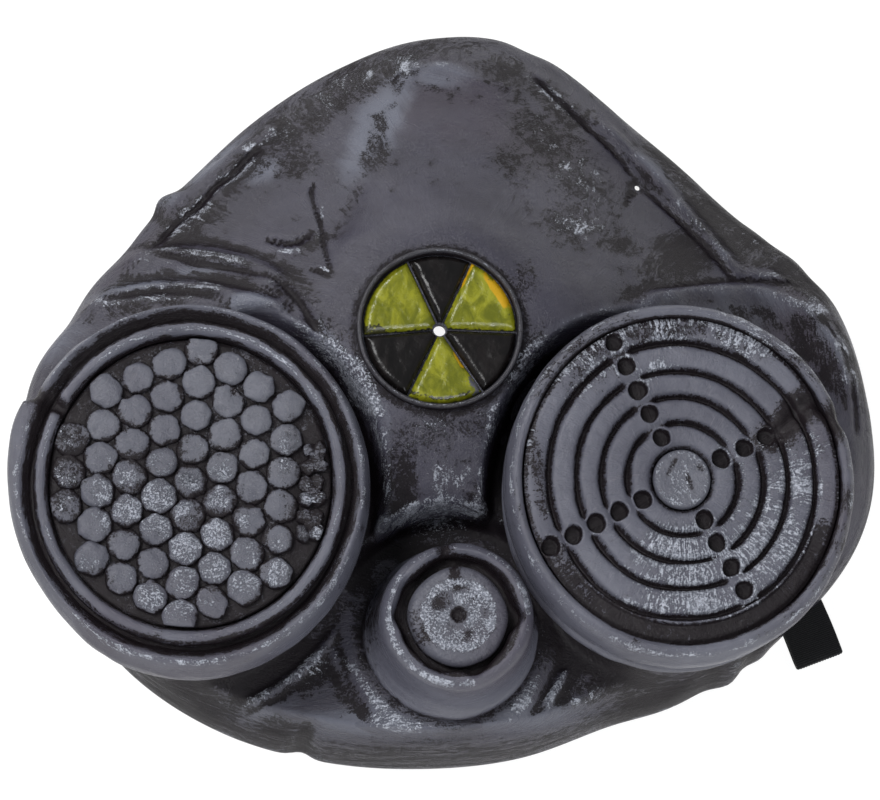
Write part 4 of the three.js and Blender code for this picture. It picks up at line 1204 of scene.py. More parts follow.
def growing_tree(name, inputs):
    """A tree that turns points into pieces, with its named inputs, and those inputs' sockets."""
    tree = bpy.data.node_groups.new(name, "GeometryNodeTree")
    tree.interface.new_socket("Geometry", in_out="INPUT", socket_type="NodeSocketGeometry")
    for label, kind, value in inputs:
        made = tree.interface.new_socket(label, in_out="INPUT", socket_type="NodeSocket" + kind)
        made.default_value = value
    tree.interface.new_socket("Geometry", in_out="OUTPUT", socket_type="NodeSocketGeometry")
    return tree, tree.nodes.new("NodeGroupInput").outputs


def close_tree(tree, geometry, material):
    """The end of a growing tree: smooth faces and one material."""
    smooth = add(tree, "GeometryNodeSetShadeSmooth", {"Geometry": geometry})
    dressed = add(tree, "GeometryNodeSetMaterial", {"Geometry": smooth.outputs[0], "Material": material})
    add(tree, "NodeGroupOutput", {"Geometry": dressed.outputs[0]})
    return tree


def varied(tree, seed, low, high):
    """A random vector for each point."""
    made = add(tree, "FunctionNodeRandomValue", {"Min": low, "Max": high}, data_type="FLOAT_VECTOR")
    tree.links.new(seed, made.inputs["Seed"])
    return made.outputs[0]


def boss_tree(material):
    """Rounded hexagon bosses on points, each a little different."""
    tree, given = growing_tree(
        "hexagon_bosses",
        [
            ("Boss radius", "Float", BOSS_RADIUS * MM),
            ("Boss height", "Float", BOSS_HEIGHT * MM),
            ("Turn", "Float", 0.0),
            ("Unevenness", "Float", 0.0015),
            ("Seed", "Int", 7),
        ],
    )
    foot = times(tree, given["Boss radius"], 1.2)
    shape = {"Radius Top": given["Boss radius"], "Radius Bottom": foot, "Depth": given["Boss height"]}
    boss = add(tree, "GeometryNodeMeshCone", {"Vertices": 6, **shape}, fill_type="NGON").outputs["Mesh"]
    soft = add(tree, "GeometryNodeSubdivisionSurface", {"Mesh": boss, "Level": 3, "Edge Crease": 0.16})
    spin = varied(tree, given["Seed"], (-0.07, -0.07, -0.16), (0.07, 0.07, 0.16))
    square = add(tree, "ShaderNodeCombineXYZ", {"Z": given["Turn"]}).outputs[0]
    turned = add(tree, "ShaderNodeVectorMath", {0: spin, 1: square}).outputs[0]
    size = varied(tree, given["Seed"], (0.9, 0.9, 0.86), (1.05, 1.05, 1.12))
    laid = add(
        tree,
        "GeometryNodeInstanceOnPoints",
        {"Points": given["Geometry"], "Instance": soft.outputs[0], "Rotation": turned, "Scale": size},
    )
    real = add(tree, "GeometryNodeRealizeInstances", {"Geometry": laid.outputs[0]})
    place = add(tree, "GeometryNodeInputPosition").outputs[0]
    rough = add(tree, "ShaderNodeTexNoise", {"Vector": place, "Scale": 330.0, "Detail": 2.0})
    half = (0.5, 0.5, 0.5)
    swings = add(tree, "ShaderNodeVectorMath", {0: rough.outputs["Color"], 1: half}, operation="SUBTRACT")
    uneven = {0: swings.outputs[0], "Scale": given["Unevenness"]}
    shift = add(tree, "ShaderNodeVectorMath", uneven, operation="SCALE")
    moved = add(tree, "GeometryNodeSetPosition", {"Geometry": real.outputs[0], "Offset": shift.outputs[0]})
    return close_tree(tree, moved.outputs[0], material)


def grown(name, points, tree, values, facing=None):
    """What a node tree grows on these points, as a plain mesh."""
    mesh = bpy.data.meshes.new(name)
    placed = (np.asarray(points, float) + VENT) * MM
    mesh.from_pydata([tuple(p) for p in placed], [], [])
    if facing is not None:
        mesh.attributes.new("facing", "FLOAT_VECTOR", "POINT").data.foreach_set("vector", facing)
    seedling = bpy.data.objects.new(name, mesh)
    bpy.context.scene.collection.objects.link(seedling)
    modifier = seedling.modifiers.new(name, "NODES")
    modifier.node_group = tree
    sockets = {item.name: item.identifier for item in tree.interface.items_tree if item.in_out == "INPUT"}
    for key, value in values.items():
        modifier[sockets[key]] = value
    graph = bpy.context.evaluated_depsgraph_get()
    result = bpy.data.meshes.new_from_object(seedling.evaluated_get(graph))
    seedling.modifiers.remove(modifier)
    seedling.data = result
    return seedling


def boss_field():
    """Points and faces of the bosses, whole ones and the chips of the broken ones."""
    places = boss_places()
    foot = LEFT_FLOOR + PLATE_HEIGHT + BOSS_TOP - BOSS_HEIGHT
    centres = on_drum(places, LEFT_PLACE, foot, STRETCH)
    broken = places[:, 0] > BROKEN_FROM
    chips = (centres[broken][:, None] + np.array(CHIP_OFFSETS)).reshape(-1, 3)
    tree = boss_tree(RUBBED_PAINT)
    points, faces = np.empty((0, 3)), np.empty((0, 4), np.int32)
    for spots, radius, uneven in ((centres[~broken], BOSS_RADIUS, 1.5), (chips, CHIP_RADIUS, 2.4)):
        values = {"Boss radius": radius * MM, "Boss height": BOSS_HEIGHT * MM, "Unevenness": uneven * MM}
        bosses = grown("bosses", spots, tree, {**values, "Turn": (30 + FIELD_TURN) * RAD})
        corners = np.empty(len(bosses.data.loops), np.int32)
        bosses.data.loops.foreach_get("vertex_index", corners)
        faces = np.vstack([faces, corners.reshape(-1, 4) + len(points)])
        points = np.vstack([points, places_of(bosses)])
        bpy.data.objects.remove(bosses)
    return points, faces


def honeycomb():
    field = RING_RADIUS - RING_WIDTH - GAP
    top, boss_faces = boss_field()
    count = len(top)
    profile = rounded([(0, 0), (field, 0), (field, PLATE_HEIGHT), (0, PLATE_HEIGHT)], passes=1, step=0.9)

    def shape(radius, height, angle):
        x, y = radius * np.cos(angle), radius * np.sin(angle)
        return radius, height + 0.22 * lumps(x, y, 2.6, 44) * ease((height - 1) / 0.5)

    plate, plate_faces = turned_points(profile, 150, shape)
    plate = on_drum(plate, LEFT_PLACE, LEFT_FLOOR, STRETCH)
    points = np.vstack([top, plate])
    faces = [np.vstack([boss_faces, plate_faces[0] + count])] + [f + count for f in plate_faces[1:]]
    u, v = points[:, 0] - LEFT_PLACE[0], (points[:, 1] - LEFT_PLACE[1]) / STRETCH
    radius = np.hypot(u, v)
    pull = np.minimum(1, (field - 0.05) / np.maximum(radius, 1e-6))
    points[:, 0] = LEFT_PLACE[0] + u * pull
    points[:, 1] = LEFT_PLACE[1] + v * pull * STRETCH
    piece = mesh_piece("honeycomb_field", points, faces)

    x, y, z = points.T
    u, v = x - LEFT_PLACE[0], (y - LEFT_PLACE[1]) / STRETCH
    level = z - LEFT_FLOOR - PLATE_HEIGHT
    wash_and_shade = 0.95 * ease((1.5 - level) / 0.6) + 0.1 * lumps(u, v, 3, 45)
    streaky, rub_and_highlight = patch_paint(u, v, HONEYCOMB_PATCHES)
    wash_and_shade = wash_and_shade + streaky
    rub_and_highlight = rub_and_highlight * ease((level - 1.3) / 0.6) + 0.22 * ease((level - 1.9) / 0.3)
    edge = bell(level, 1.75, 0.35) * 0.2
    right = ease((u - 23) / 4)
    painted(piece, wash_and_shade + 0.1, rub_and_highlight + edge, LEFT_PLACE, mix(20.0, 60.0, right), mix(1.2, 0.3, right))
    return finish_piece(piece, RUBBED_PAINT, "rubbed_latex", "left_filter_honeycomb")


def right_drum():
    r, h = RIGHT_RADIUS, RIGHT_HEIGHT
    profile = rounded(
        [
            (0, 0),
            (DRUM_FOOT, 0),
            (0.9 * r, 0.15 * h),
            (0.985 * r, 0.25 * h),
            (0.985 * r, 0.35 * h),
            (0.945 * r, 0.4 * h),
            (0.955 * r, 0.5 * h),
            (1.0 * r, 0.57 * h),
            (1.005 * r, 0.72 * h),
            (1.0 * r, 0.87 * h),
            (0.98 * r, 0.96 * h),
            (0.95 * r, 1.0 * h),
            (RECESS_RADIUS + 0.3, h - 0.6),
            (RECESS_RADIUS, h - 1.6),
            (RECESS_RADIUS, h - RECESS_DEPTH + 0.1),
            (RECESS_RADIUS - 2, h - RECESS_DEPTH),
            (0, h - RECESS_DEPTH),
        ]
    )
    wobble = drum_wobble(51, 0.3)

    def shape(radius, height, angle):
        radius, height = wobble(radius, height, angle)
        turn = np.degrees(angle)
        high = ease((height - 0.55 * h) / 4)
        notch = bell(turn, RIGHT_NICK, 3.4) * high * ease((radius - 36.5) / 2)
        inward = 0.7 * notch * ease((radius - 40) / 1.5)
        return radius - inward, height - 1.5 * notch * ease((height - 0.8 * h) / 3)

    piece, spots = turned_piece("right_drum", profile, 200, shape, RIGHT_PLACE, DRUM_FOOTING, STRETCH)
    x, y, _, _, radius, turn, z = spots
    fine, wide = relief(piece, 10), relief(piece, 50)
    wash_and_shade = part_of(-fine, 0.16) * 0.5 + part_of(-wide, 0.8) * 0.4
    wash_and_shade = wash_and_shade + 1.0 * ease((RECESS_RADIUS + 0.5 - radius) / 0.6) * ease((z - 15) / 4)
    wash_and_shade = wash_and_shade + 2.0 * bell(turn, RIGHT_NICK, 4.6) * ease((z - 8) / 5)
    wash_and_shade = wash_and_shade + 0.6 * bell(turn, 48, 16) * ease((z - 24) / 4)
    wash_and_shade = wash_and_shade + 0.62 * bell(turn, 128, 20) * ease((z - 26) / 3)
    wash_and_shade = wash_and_shade + 0.4 * bell(turn, 350, 22) * ease((z - 10) / 5)
    # a dark line at the neck, and darker towards the foot
    wash_and_shade = wash_and_shade + 0.9 * bell(z, 0.44 * h, 1.3) + 0.7 * ease((0.16 * h - z) / 3)
    rub_and_highlight = part_of(fine, 0.14) * 0.24 + part_of(wide, 0.8) * 0.06
    # silver and painted highlight along the rim's crest and on its top
    crest = bell(radius, 0.985 * r, 0.7) * ease((z - 0.9 * h) / 2)
    rub_and_highlight = rub_and_highlight + 0.3 * crest * (0.5 + bell(turn, 150, 40) + bell(turn, 290, 50))
    rub_and_highlight = rub_and_highlight + 0.3 * bell(turn, 60, 20) * ease((z - 27) / 2)
    wash_and_shade = wash_and_shade + 0.08 + 0.18 * lumps(x + z, y, 3.2, 53) + 0.12 * lumps(x, y + z, 9, 54)
    painted(piece, wash_and_shade, rub_and_highlight, RIGHT_PLACE, 6.0, 1.0)
    return finish_piece(piece, DRUM_PAINT, "skin_latex", "right_filter_housing")


def distance_to_line(x, y, places):
    line = smooth_line(places, 0.6)
    return np.hypot(x[..., None] - line[:, 0], y[..., None] - line[:, 1]).min(-1)


def grille_height(radius, angle):
    """Height of the grille's face, with arcs of grooves that stop short of the rows of holes."""
    x, y = radius * np.cos(angle), radius * np.sin(angle)
    wobble = 0.45 * lumps(x, y, 14, 61)
    bent = radius + wobble * ease((radius - 8) / 5) * ease((37.5 - radius) / 2)
    arms = np.full(radius.shape, 99.0)
    for turn, count in HOLE_ROWS:
        along = x * math.cos(turn * RAD) + y * math.sin(turn * RAD)
        across = -x * math.sin(turn * RAD) + y * math.cos(turn * RAD)
        last = RECESS_RADIUS * (FIRST_HOLE + (count - 1) * HOLE_STEP) + 3
        arms = np.minimum(arms, np.where((along > 0) & (along < last), np.abs(across), 99.0))
    open_share = ease((arms - 1.6) / 2.0)
    crown = np.zeros_like(radius)
    edges = [HUB_RADIUS + 0.3] + [g * RECESS_RADIUS for g in GROOVES] + [RECESS_RADIUS + 1.5]
    for low, high in zip(edges[:-1], edges[1:]):
        t = np.clip((bent - low) / (high - low), 0, 1)
        crown = np.where((bent >= low) & (bent < high), 1 - np.abs(2 * t - 1) ** 2.6, crown)
    z = GRILLE_HEIGHT - 0.75 + 0.85 * crown
    groove = np.zeros_like(radius)
    groove_width = 0.68 + 0.2 * lumps(x, y, 5, 66)
    for share in GROOVES:
        groove = np.maximum(groove, bell(bent, share * RECESS_RADIUS, groove_width))
    z = z - 1.75 * groove * mix(0.12, 1, open_share)
    turn = np.degrees(angle) % 360
    floor = ease((radius - 33.0) / 1.0) * ease((turn - 212) / 24) * ease((352 - turn) / 22)
    z = mix(z, GRILLE_HEIGHT - 2.0, floor)
    z = z - 1.9 * bell(distance_to_line(x, y, CRACK), 0, 1.9 + 0.8 * lumps(x, y, 3, 64))
    z = z - 0.6 * bell(radius, RECESS_RADIUS - 0.3, 0.8) - 0.7 * bell(radius, HUB_RADIUS + 0.3, 0.8)
    holes = np.zeros_like(radius)
    for direction, count in HOLE_ROWS:
        for i in range(count):
            away = RECESS_RADIUS * (FIRST_HOLE + i * HOLE_STEP)
            hx, hy = away * math.cos(direction * RAD), away * math.sin(direction * RAD)
            gone = np.hypot(x - hx, y - hy)
            z = z + 0.12 * bell(gone - HOLE_RADIUS, 0.35, 0.5)
            holes = np.maximum(holes, ease((HOLE_RADIUS + 0.3 * lumps(x, y, 2, 67) + 0.25 - gone) / 0.6))
    z = mix(z, GRILLE_HEIGHT - 2.7, holes)
    z = z + 0.1 * lumps(x, y, 3, 62) + 0.06 * lumps(x, y, 1.3, 63)
    return np.clip(z, 0.5, GRILLE_HEIGHT + 0.35), holes, groove * open_share, floor


def right_grille():
    sides, out, bore = 520, RECESS_RADIUS - GAP, HUB_RADIUS + GAP
    angle = np.arange(sides) / sides * 2 * math.pi
    radii = np.linspace(out, bore, 118)
    radius, turn = np.meshgrid(radii, angle, indexing="ij")
    z, holes, grooves, floor = grille_height(radius, turn)
    top = np.stack([radius * np.cos(turn), radius * np.sin(turn), z], -1)
    base = top[[-1, 0]].copy()
    base[..., 2] = 0
    grid = np.concatenate([base, top])
    faces = strip_faces(len(grid), sides, closed=True)
    points = on_drum(grid.reshape(-1, 3), RIGHT_PLACE, RIGHT_FLOOR, STRETCH)
    piece = mesh_piece("right_grille", points, faces)
    pad = lambda a: np.concatenate([np.zeros(2 * sides), a.ravel()])
    u, v = radius * np.cos(turn), radius * np.sin(turn)
    fine, wide = relief(piece, 8), relief(piece, 40)
    wash_and_shade, rub_and_highlight = patch_paint(u, v, GRILLE_PATCHES)
    wash_and_shade = pad(wash_and_shade) + 2.4 * pad(holes) + 1.25 * pad(grooves) + 1.2 * pad(floor)
    wash_and_shade = wash_and_shade + part_of(-fine, 0.12) * 0.6 + part_of(-wide, 0.5) * 0.35
    crack = distance_to_line(u, v, CRACK)
    wash_and_shade = wash_and_shade + 2.2 * pad(bell(crack, 0, 2.9))
    wash_and_shade = wash_and_shade + 0.8 * pad(ease((radius - RECESS_RADIUS + 1.6) / 1.0))
    wash_and_shade = wash_and_shade + 0.7 * pad(ease((HUB_RADIUS + 1.3 - radius) / 0.8))
    rub_and_highlight = pad(rub_and_highlight) * (1 - pad(grooves)) * (1 - pad(holes))
    rub_and_highlight = rub_and_highlight + part_of(fine, 0.08) * 0.28 * (1 - pad(floor))
    painted(piece, wash_and_shade + 0.05, rub_and_highlight, RIGHT_PLACE, 24.0, 0.22)
    return finish_piece(piece, GRILLE_PAINT, "skin_latex", "right_filter_grille")


def right_hub():
    r, h = HUB_RADIUS, GRILLE_HEIGHT + 0.4
    profile = rounded(
        [
            (0, 0),
            (r, 0),
            (r, h - 1.3),
            (0.93 * r, h - 0.3),
            (0.8 * r, h),
            (0.4 * r, h - 0.1),
            (0, h - 0.35),
        ],
        step=0.4,
    )

    def shape(radius, height, angle):
        x, y = radius * np.cos(angle), radius * np.sin(angle)
        uneven = 0.22 * lumps(x, y, 3.4, 71) + 0.08 * lumps(x, y, 1.1, 72)
        return radius, height + ease((height - 2) / 1.5) * uneven

    piece, spots = turned_piece("right_hub", profile, 120, shape, RIGHT_PLACE, RIGHT_FLOOR, STRETCH)
    wash_and_shade, rub_and_highlight = patch_paint(spots.u, spots.v, HUB_PATCHES)
    wash_and_shade = wash_and_shade + ease((spots.level - h + 1.4) / -0.8) * 0.9
    rub_and_highlight = rub_and_highlight + 0.25 * bell(spots.radius, 0.86 * r, 0.6)
    painted(piece, wash_and_shade, rub_and_highlight, (RIGHT_PLACE[0] - 20, RIGHT_PLACE[1] + 30), 30.0, 0.4)
    return finish_piece(piece, RUBBED_PAINT, "rubbed_latex", "right_filter_hub")


def valve_body():
    base, h = VALVE_BASE, VALVE_HEIGHT
    profile = rounded(
        [
            (0, 0),
            (base, 0),
            (base, 0.13 * h),
            (mix(base, VALVE_RIM, 0.3), 0.22 * h),
            (mix(base, VALVE_RIM, 0.62), 0.44 * h),
            (mix(base, VALVE_RIM, 0.72), 0.72 * h),
            (VALVE_RIM + 0.9, 0.86 * h),
            (VALVE_RIM + 0.5, 0.94 * h),
            (VALVE_RIM - 0.8, 0.99 * h),
            (VALVE_BORE + 1.6, h),
            (VALVE_BORE + 0.2, h - 1.0),
            (VALVE_BORE, h - VALVE_DEPTH + 0.2),
            (VALVE_BORE - 2, h - VALVE_DEPTH),
            (0, h - VALVE_DEPTH),
        ],
        step=0.55,
    )
    wobble = drum_wobble(81, 0.3)

    def shape(radius, height, angle):
        radius, height = wobble(radius, height, angle)
        turn = np.degrees(angle)
        high = ease((height - 0.6 * h) / 5)
        notch = bell(turn, VALVE_NICK, 5.5) * high * ease((radius - 13) / 1)
        inner = ease((16.4 - radius) / 1.6) * ease((radius - 13) / 0.8)
        ragged = 1.3 * lumps(12 * np.cos(angle), 12 * np.sin(angle), 4.2, 88)
        return radius + ragged * inner * high, height - 1.7 * notch

    piece, spots = turned_piece("valve_body", profile, 180, shape, VALVE_PLACE, VALVE_FOOTING)
    radius, turn, z = spots.radius, spots.turn, spots.level
    fine, wide = relief(piece, 10), relief(piece, 45)
    wash_and_shade = part_of(-fine, 0.14) * 0.5 + part_of(-wide, 0.8) * 0.3
    wash_and_shade = wash_and_shade + 1.0 * ease((VALVE_BORE + 1.2 - radius) / 0.9) * ease((z - 15) / 4)
    wash_and_shade = wash_and_shade + 0.8 * bell(turn, VALVE_NICK, 9) * ease((z - 16) / 5)
    # darker towards the foot and low on its left side, and painted shade low on its right side
    wash_and_shade = wash_and_shade + 0.55 * ease((5 - z) / 4)
    wash_and_shade = wash_and_shade + 0.5 * ease((radius - 15) / 2) * bell(turn, 168, 26) * ease((24 - z) / 5)
    wash_and_shade = wash_and_shade + 0.45 * bell(turn, 20, 40) * ease((25 - z) / 5)
    rub_and_highlight = part_of(fine, 0.14) * 0.25 + part_of(wide, 0.8) * 0.08
    # silver and painted highlight along the rim's crest
    lit = bell(radius, 16.6, 0.8) * ease((z - 0.9 * h) / 2)
    rub_and_highlight = rub_and_highlight + 0.46 * lit * (0.5 + bell(turn, 200, 60) + 0.7 * bell(turn, 20, 40))
    painted(piece, wash_and_shade + 0.08, rub_and_highlight, VALVE_PLACE, 4.0, 1.0)
    return finish_piece(piece, DRUM_PAINT, "skin_latex", "valve_housing")


def valve_button():
    r, h = BUTTON_RADIUS, BUTTON_HEIGHT
    profile = rounded(
        [
            (0, 0),
            (r, 0),
            (r, 0.5 * h),
            (0.96 * r, 0.76 * h),
            (0.86 * r, 0.92 * h),
            (0.7 * r, 0.99 * h),
            (2.6, h),
            (1.7, h - 0.15),
            (1.1, h - 1.1),
            (0, h - 1.1),
        ],
        step=0.35,
    )

    def shape(radius, height, angle):
        x, y = radius * np.cos(angle), radius * np.sin(angle)
        top = ease((height - 0.6 * h) / 1.5) * ease((radius - 1.8) / 1)
        radius = radius + 0.35 * ease((radius - 8) / 3) * lumps(x, y, 7, 91)
        return radius, height + top * (0.2 * lumps(x, y, 3, 92) + 0.12 * lumps(x, y, 1.1, 93))

    piece, spots = turned_piece("valve_button", profile, 150, shape, VALVE_PLACE, VALVE_FLOOR)
    _, _, u, v, radius, _, level = spots
    wash_and_shade = 0.85 * ease((3.2 - level) / 1.6) + 0.9 * ease((2.3 - radius) / 0.6)
    extra, _ = patch_paint(u, v, BUTTON_PATCHES)
    rub_and_highlight = 0.56 + 0.5 * lumps(u, v, 2.2, 94) + 0.45 * bell(radius, 8, 1.2)
    inner = ease((radius - 1.9) / 0.7) * ease((9.7 - radius) / 1.1) * ease((level - 3.6) / 1)
    painted(piece, wash_and_shade + extra + 0.16 + 0.2 * inner, rub_and_highlight * inner, VALVE_PLACE, 8.0, 1.0)
    return finish_piece(piece, RUBBED_PAINT, "rubbed_latex", "valve_button")


# The badge


def badge_ring():
    out, inside, h = BADGE_RADIUS, BADGE_RADIUS - BADGE_RIM, BADGE_HEIGHT
    profile = rounded(
        [
            (inside, 0),
            (out, 0),
            (out, 0.55 * h),
            (out - 0.12, 0.88 * h),
            (out - 0.5, h),
            (inside + 0.45, h),
            (inside + 0.08, 0.8 * h),
            (inside, 0),
        ],
        step=0.25,
    )[:-1]
    wobble = drum_wobble(15, 0.12)

    def shape(radius, height, angle):
        bent, _ = wobble(radius, height, angle)
        radius = mix(radius, bent, ease(height / 1.2))
        return np.minimum(radius, out), height * (1 + 0.05 * np.sin(3 * angle + 1))

    piece, spots = turned_piece("badge_ring_cast", profile, 240, shape, (0, 0), BADGE_FOOTING)
    radius, turn, level = spots.radius, spots.turn, spots.level
    # darker low on the ring; silver and painted highlight along its crest
    wash_and_shade = 0.95 * ease((0.75 * h - level) / 0.8) + 0.25
    crest = bell(radius - out, -0.75, 0.35) * ease((level - 0.85 * h) / 0.3)
    rub_and_highlight = 0.42 * crest * (0.5 + bell(turn, 75, 45) + 0.8 * bell(turn, 265, 50))
    painted(piece, wash_and_shade, rub_and_highlight, (0, 0), 4.0, 1.0)
    return finish_piece(piece, DARK_PAINT, "dark_latex", "badge_ring")


def badge_field(node, start, end, dark):
    """A pillowed wedge of the badge."""
    out = BADGE_RADIUS - BADGE_RIM - GAP
    middle, half = (start + end) / 2 * RAD, (end - start) / 2 * RAD
    tip = max((SECTOR_GAP / 2) / math.sin(half) + 0.3, VENT_BORE / 2 + GAP)
    rows, columns = 64, 56
    radius = np.linspace(tip, out, rows)[:, None]
    swing = half - np.arcsin(np.minimum(0.98, SECTOR_GAP / 2 / radius))
    share = np.linspace(-1, 1, columns)[None, :]
    angle = middle + swing * share
    radius = np.broadcast_to(radius, angle.shape)
    side = radius * np.sin(np.maximum(0, swing * (1 - np.abs(share))))
    edge = np.minimum(np.minimum(side, out - radius), radius - tip)
    x, y = radius * np.cos(angle), radius * np.sin(angle)
    pillow = 1 - (1 - part_of(edge, 2.2)) ** 2.4
    z = 0.35 + (SECTOR_HEIGHT - 0.35 + 0.25) * pillow + 0.09 * lumps(x, y, 2.2, 17) * pillow
    top = np.stack([x, y, z], -1).reshape(-1, 3)
    base = top.copy()
    base[:, 2] = 0
    points = np.vstack([top, base])
    i, j = np.meshgrid(np.arange(rows - 1), np.arange(columns - 1), indexing="ij")
    a = (i * columns + j).ravel()
    quads = np.stack([a, a + columns, a + columns + 1, a + 1], -1)
    under = quads[:, ::-1] + rows * columns
    walk = np.concatenate(
        [
            np.arange(columns),
            np.arange(2, rows) * columns - 1,
            rows * columns - 1 - np.arange(columns),
            np.arange(rows - 2, 0, -1) * columns,
        ]
    )
    after = np.roll(walk, -1)
    rim = np.stack([walk, after, after + rows * columns, walk + rows * columns], -1)
    faces = np.vstack([quads, under, rim])
    piece = mesh_piece(node + "_paint", on_drum(points, (0, 0), BADGE_FOOTING, 1), faces)
    around = np.degrees(np.arctan2(points[:, 1], points[:, 0])) % 360
    away = np.hypot(points[:, 0], points[:, 1])
    edges = np.concatenate([edge.ravel(), np.zeros(rows * columns)])
    wear = badge_wear(node, dark, around, away, edges)
    for name, values in zip(("accent", "wash_and_shade", "rub_and_highlight"), wear):
        numbers(piece, name, values)
    paint, slot = (BADGE_BLACK, "black_paint") if dark else (BADGE_GREEN, "yellow_paint")
    return finish_piece(piece, paint, slot, node)


def badge_wear(node, dark, around, away, edges):
    """Brush strokes, wash, darker field edges and chips at directions, distances from the vent and distances
    to an edge.
    """
    accent = np.zeros(len(away))
    if node == "badge_field_right":
        accent = bell(around, 33, 15) * ease((away - 15.2) / 1.6)
        accent = accent + 0.7 * bell(around, 64, 3) * ease((away - 10) / 3)
    if node == "badge_field_bottom":
        accent = bell(around, 301, 5) * ease((away - 5) / 3) * ease((12.5 - away) / 2)
    # darker along the field's edges
    wash_and_shade = 0.5 * ease((0.5 - edges) / 0.5)
    rub_and_highlight = np.zeros(len(away))
    if node == "badge_field_bottom":
        rub_and_highlight = 0.8 * bell(around, 300, 5) * ease((away - 13.2) / 1.4)
        wash_and_shade = wash_and_shade + 0.7 * ease((away - 16.6) / 0.8) * ease((18.2 - away) / 0.6)
    if node == "badge_field_left":
        wash_and_shade = wash_and_shade + 0.75 * bell(around, 182, 5) * ease((away - 12) / 3)
    if dark:
        rub_and_highlight = 0.3 * ease((0.7 - edges) / 0.6) * ease((away - 9) / 3)
    return accent, wash_and_shade, rub_and_highlight


# Strap and rivets


def strap_line(steps):
    rows = STRAP_ROUTE
    last = len(rows) - 1
    out = []
    for row in range(last):
        at = lambda step: rows[min(last, max(0, row + step))]
        out += [through(at(-1), at(0), at(1), at(2), i / steps) for i in range(steps)]
    out.append(rows[last])
    out = np.array(out)
    middle = out[:, :3] * [REACH, REACH, 1]
    flat = np.cos(out[:, 4] * RAD)
    plan = out[:, 3] * RAD
    across = np.stack([flat * np.cos(plan), flat * np.sin(plan), np.sin(out[:, 4] * RAD)], -1)
    before = np.vstack([middle[:1], middle[:-1]])
    after = np.vstack([middle[1:], middle[-1:]])
    along = after - before
    along /= np.linalg.norm(along, axis=1, keepdims=True)
    thick = np.cross(along, across)
    thick /= np.linalg.norm(thick, axis=1, keepdims=True)
    return middle, thick, np.cross(thick, along)


def head_strap():
    """A flat elastic band with fine ribs along it."""
    middle, thick, wide = strap_line(24)
    lane = np.linspace(-1, 1, 61)
    edge = np.sqrt(np.maximum(0, 1 - np.abs(lane) ** 14))
    ribs = 0.86 + 0.14 * np.cos(lane * 17 * math.pi)
    half = STRAP_THICKNESS / 2 * np.maximum(0.16, edge * ribs)
    a = np.concatenate([lane, lane[::-1]]) * STRAP_WIDTH / 2
    b = np.concatenate([-half, half[::-1]])
    rows = middle[:, None] + a[None, :, None] * wide[:, None] + b[None, :, None] * thick[:, None]
    count, around = rows.shape[:2]
    points = rows.reshape(-1, 3)
    faces = strip_faces(count, around)
    ends = []
    for row, flip in ((0, False), (count - 1, True)):
        i = np.arange(len(lane) - 1)
        base = row * around
        quad = np.stack([base + i, base + i + 1, base + around - 2 - i, base + around - 1 - i], -1)
        ends.append(quad if not flip else quad[:, ::-1])
    quads = np.vstack([faces, ends[0], ends[1]])
    piece = mesh_piece("elastic_strap", points, quads)
    length = np.concatenate([[0], np.cumsum(np.linalg.norm(np.diff(middle, axis=0), axis=1))])
    u = np.repeat(length, around)
    v = np.tile(a, count)
    mesh = piece.data
    corners = np.empty(len(mesh.loops), np.int32)
    mesh.loops.foreach_get("vertex_index", corners)
    layer = mesh.uv_layers.new(name="weave")
    layer.data.foreach_set("uv", np.stack([u[corners], v[corners]], -1).astype(np.float32).ravel())
    return finish_piece(piece, ELASTIC, "elastic", "head_strap")


def rivet_tree(material):
    """Domed heads with a rolled edge, one on each point, turned as the point says."""
    tree, given = growing_tree(
        "rivet_heads",
        [("Head radius", "Float", RIVET_RADIUS * MM), ("Head height", "Float", RIVET_HEIGHT * MM)],
    )
    fineness = {"Vertices": 32, "Side Segments": 3, "Fill Segments": 5}
    size = {"Radius": given["Head radius"], "Depth": given["Head height"]}
    disc = add(tree, "GeometryNodeMeshCylinder", {**fineness, **size}).outputs["Mesh"]
    place = add(tree, "GeometryNodeInputPosition").outputs[0]
    parts = add(tree, "ShaderNodeSeparateXYZ", {0: place}).outputs
    out = sums(tree, times(tree, parts["X"], parts["X"]), times(tree, parts["Y"], parts["Y"]))
    square = times(tree, given["Head radius"], given["Head radius"])
    share = add(tree, "ShaderNodeMath", {0: out, 1: square}, operation="DIVIDE").outputs[0]
    top = add(tree, "ShaderNodeMath", {0: parts["Z"], 1: 0.0}, operation="GREATER_THAN").outputs[0]
    sink = times(tree, times(tree, share, top), given["Head height"])
    lower = add(tree, "ShaderNodeCombineXYZ", {"Z": times(tree, sink, -0.62)})
    domed = add(tree, "GeometryNodeSetPosition", {"Geometry": disc, "Offset": lower.outputs[0]})
    facing = add(tree, "GeometryNodeInputNamedAttribute", {"Name": "facing"}, data_type="FLOAT_VECTOR")
    laid = add(
        tree,
        "GeometryNodeInstanceOnPoints",
        {"Points": given["Geometry"], "Instance": domed.outputs[0], "Rotation": facing.outputs["Attribute"]},
    )
    real = add(tree, "GeometryNodeRealizeInstances", {"Geometry": laid.outputs[0]})
    return close_tree(tree, real.outputs[0], material)


def strap_rivets():
    middle, thick, _ = strap_line(2)
    tree = rivet_tree(STEEL)
    for side, at in (("right", 1), ("left", len(middle) - 2)):
        out = middle[at] * [1, 1, 0]
        facing = thick[at] * (-1 if thick[at] @ out > 0 else 1)
        spot = middle[at] + facing * (STRAP_THICKNESS / 2 + RIVET_CLEARANCE + RIVET_HEIGHT / 2)
        turn = Vector((0, 0, 1)).rotation_difference(Vector(facing)).to_euler()
        piece = grown("rivet_" + side, [spot], tree, {}, list(turn))
        finish_piece(piece, STEEL, "rivet_steel", "strap_rivet_" + side)


# Studio

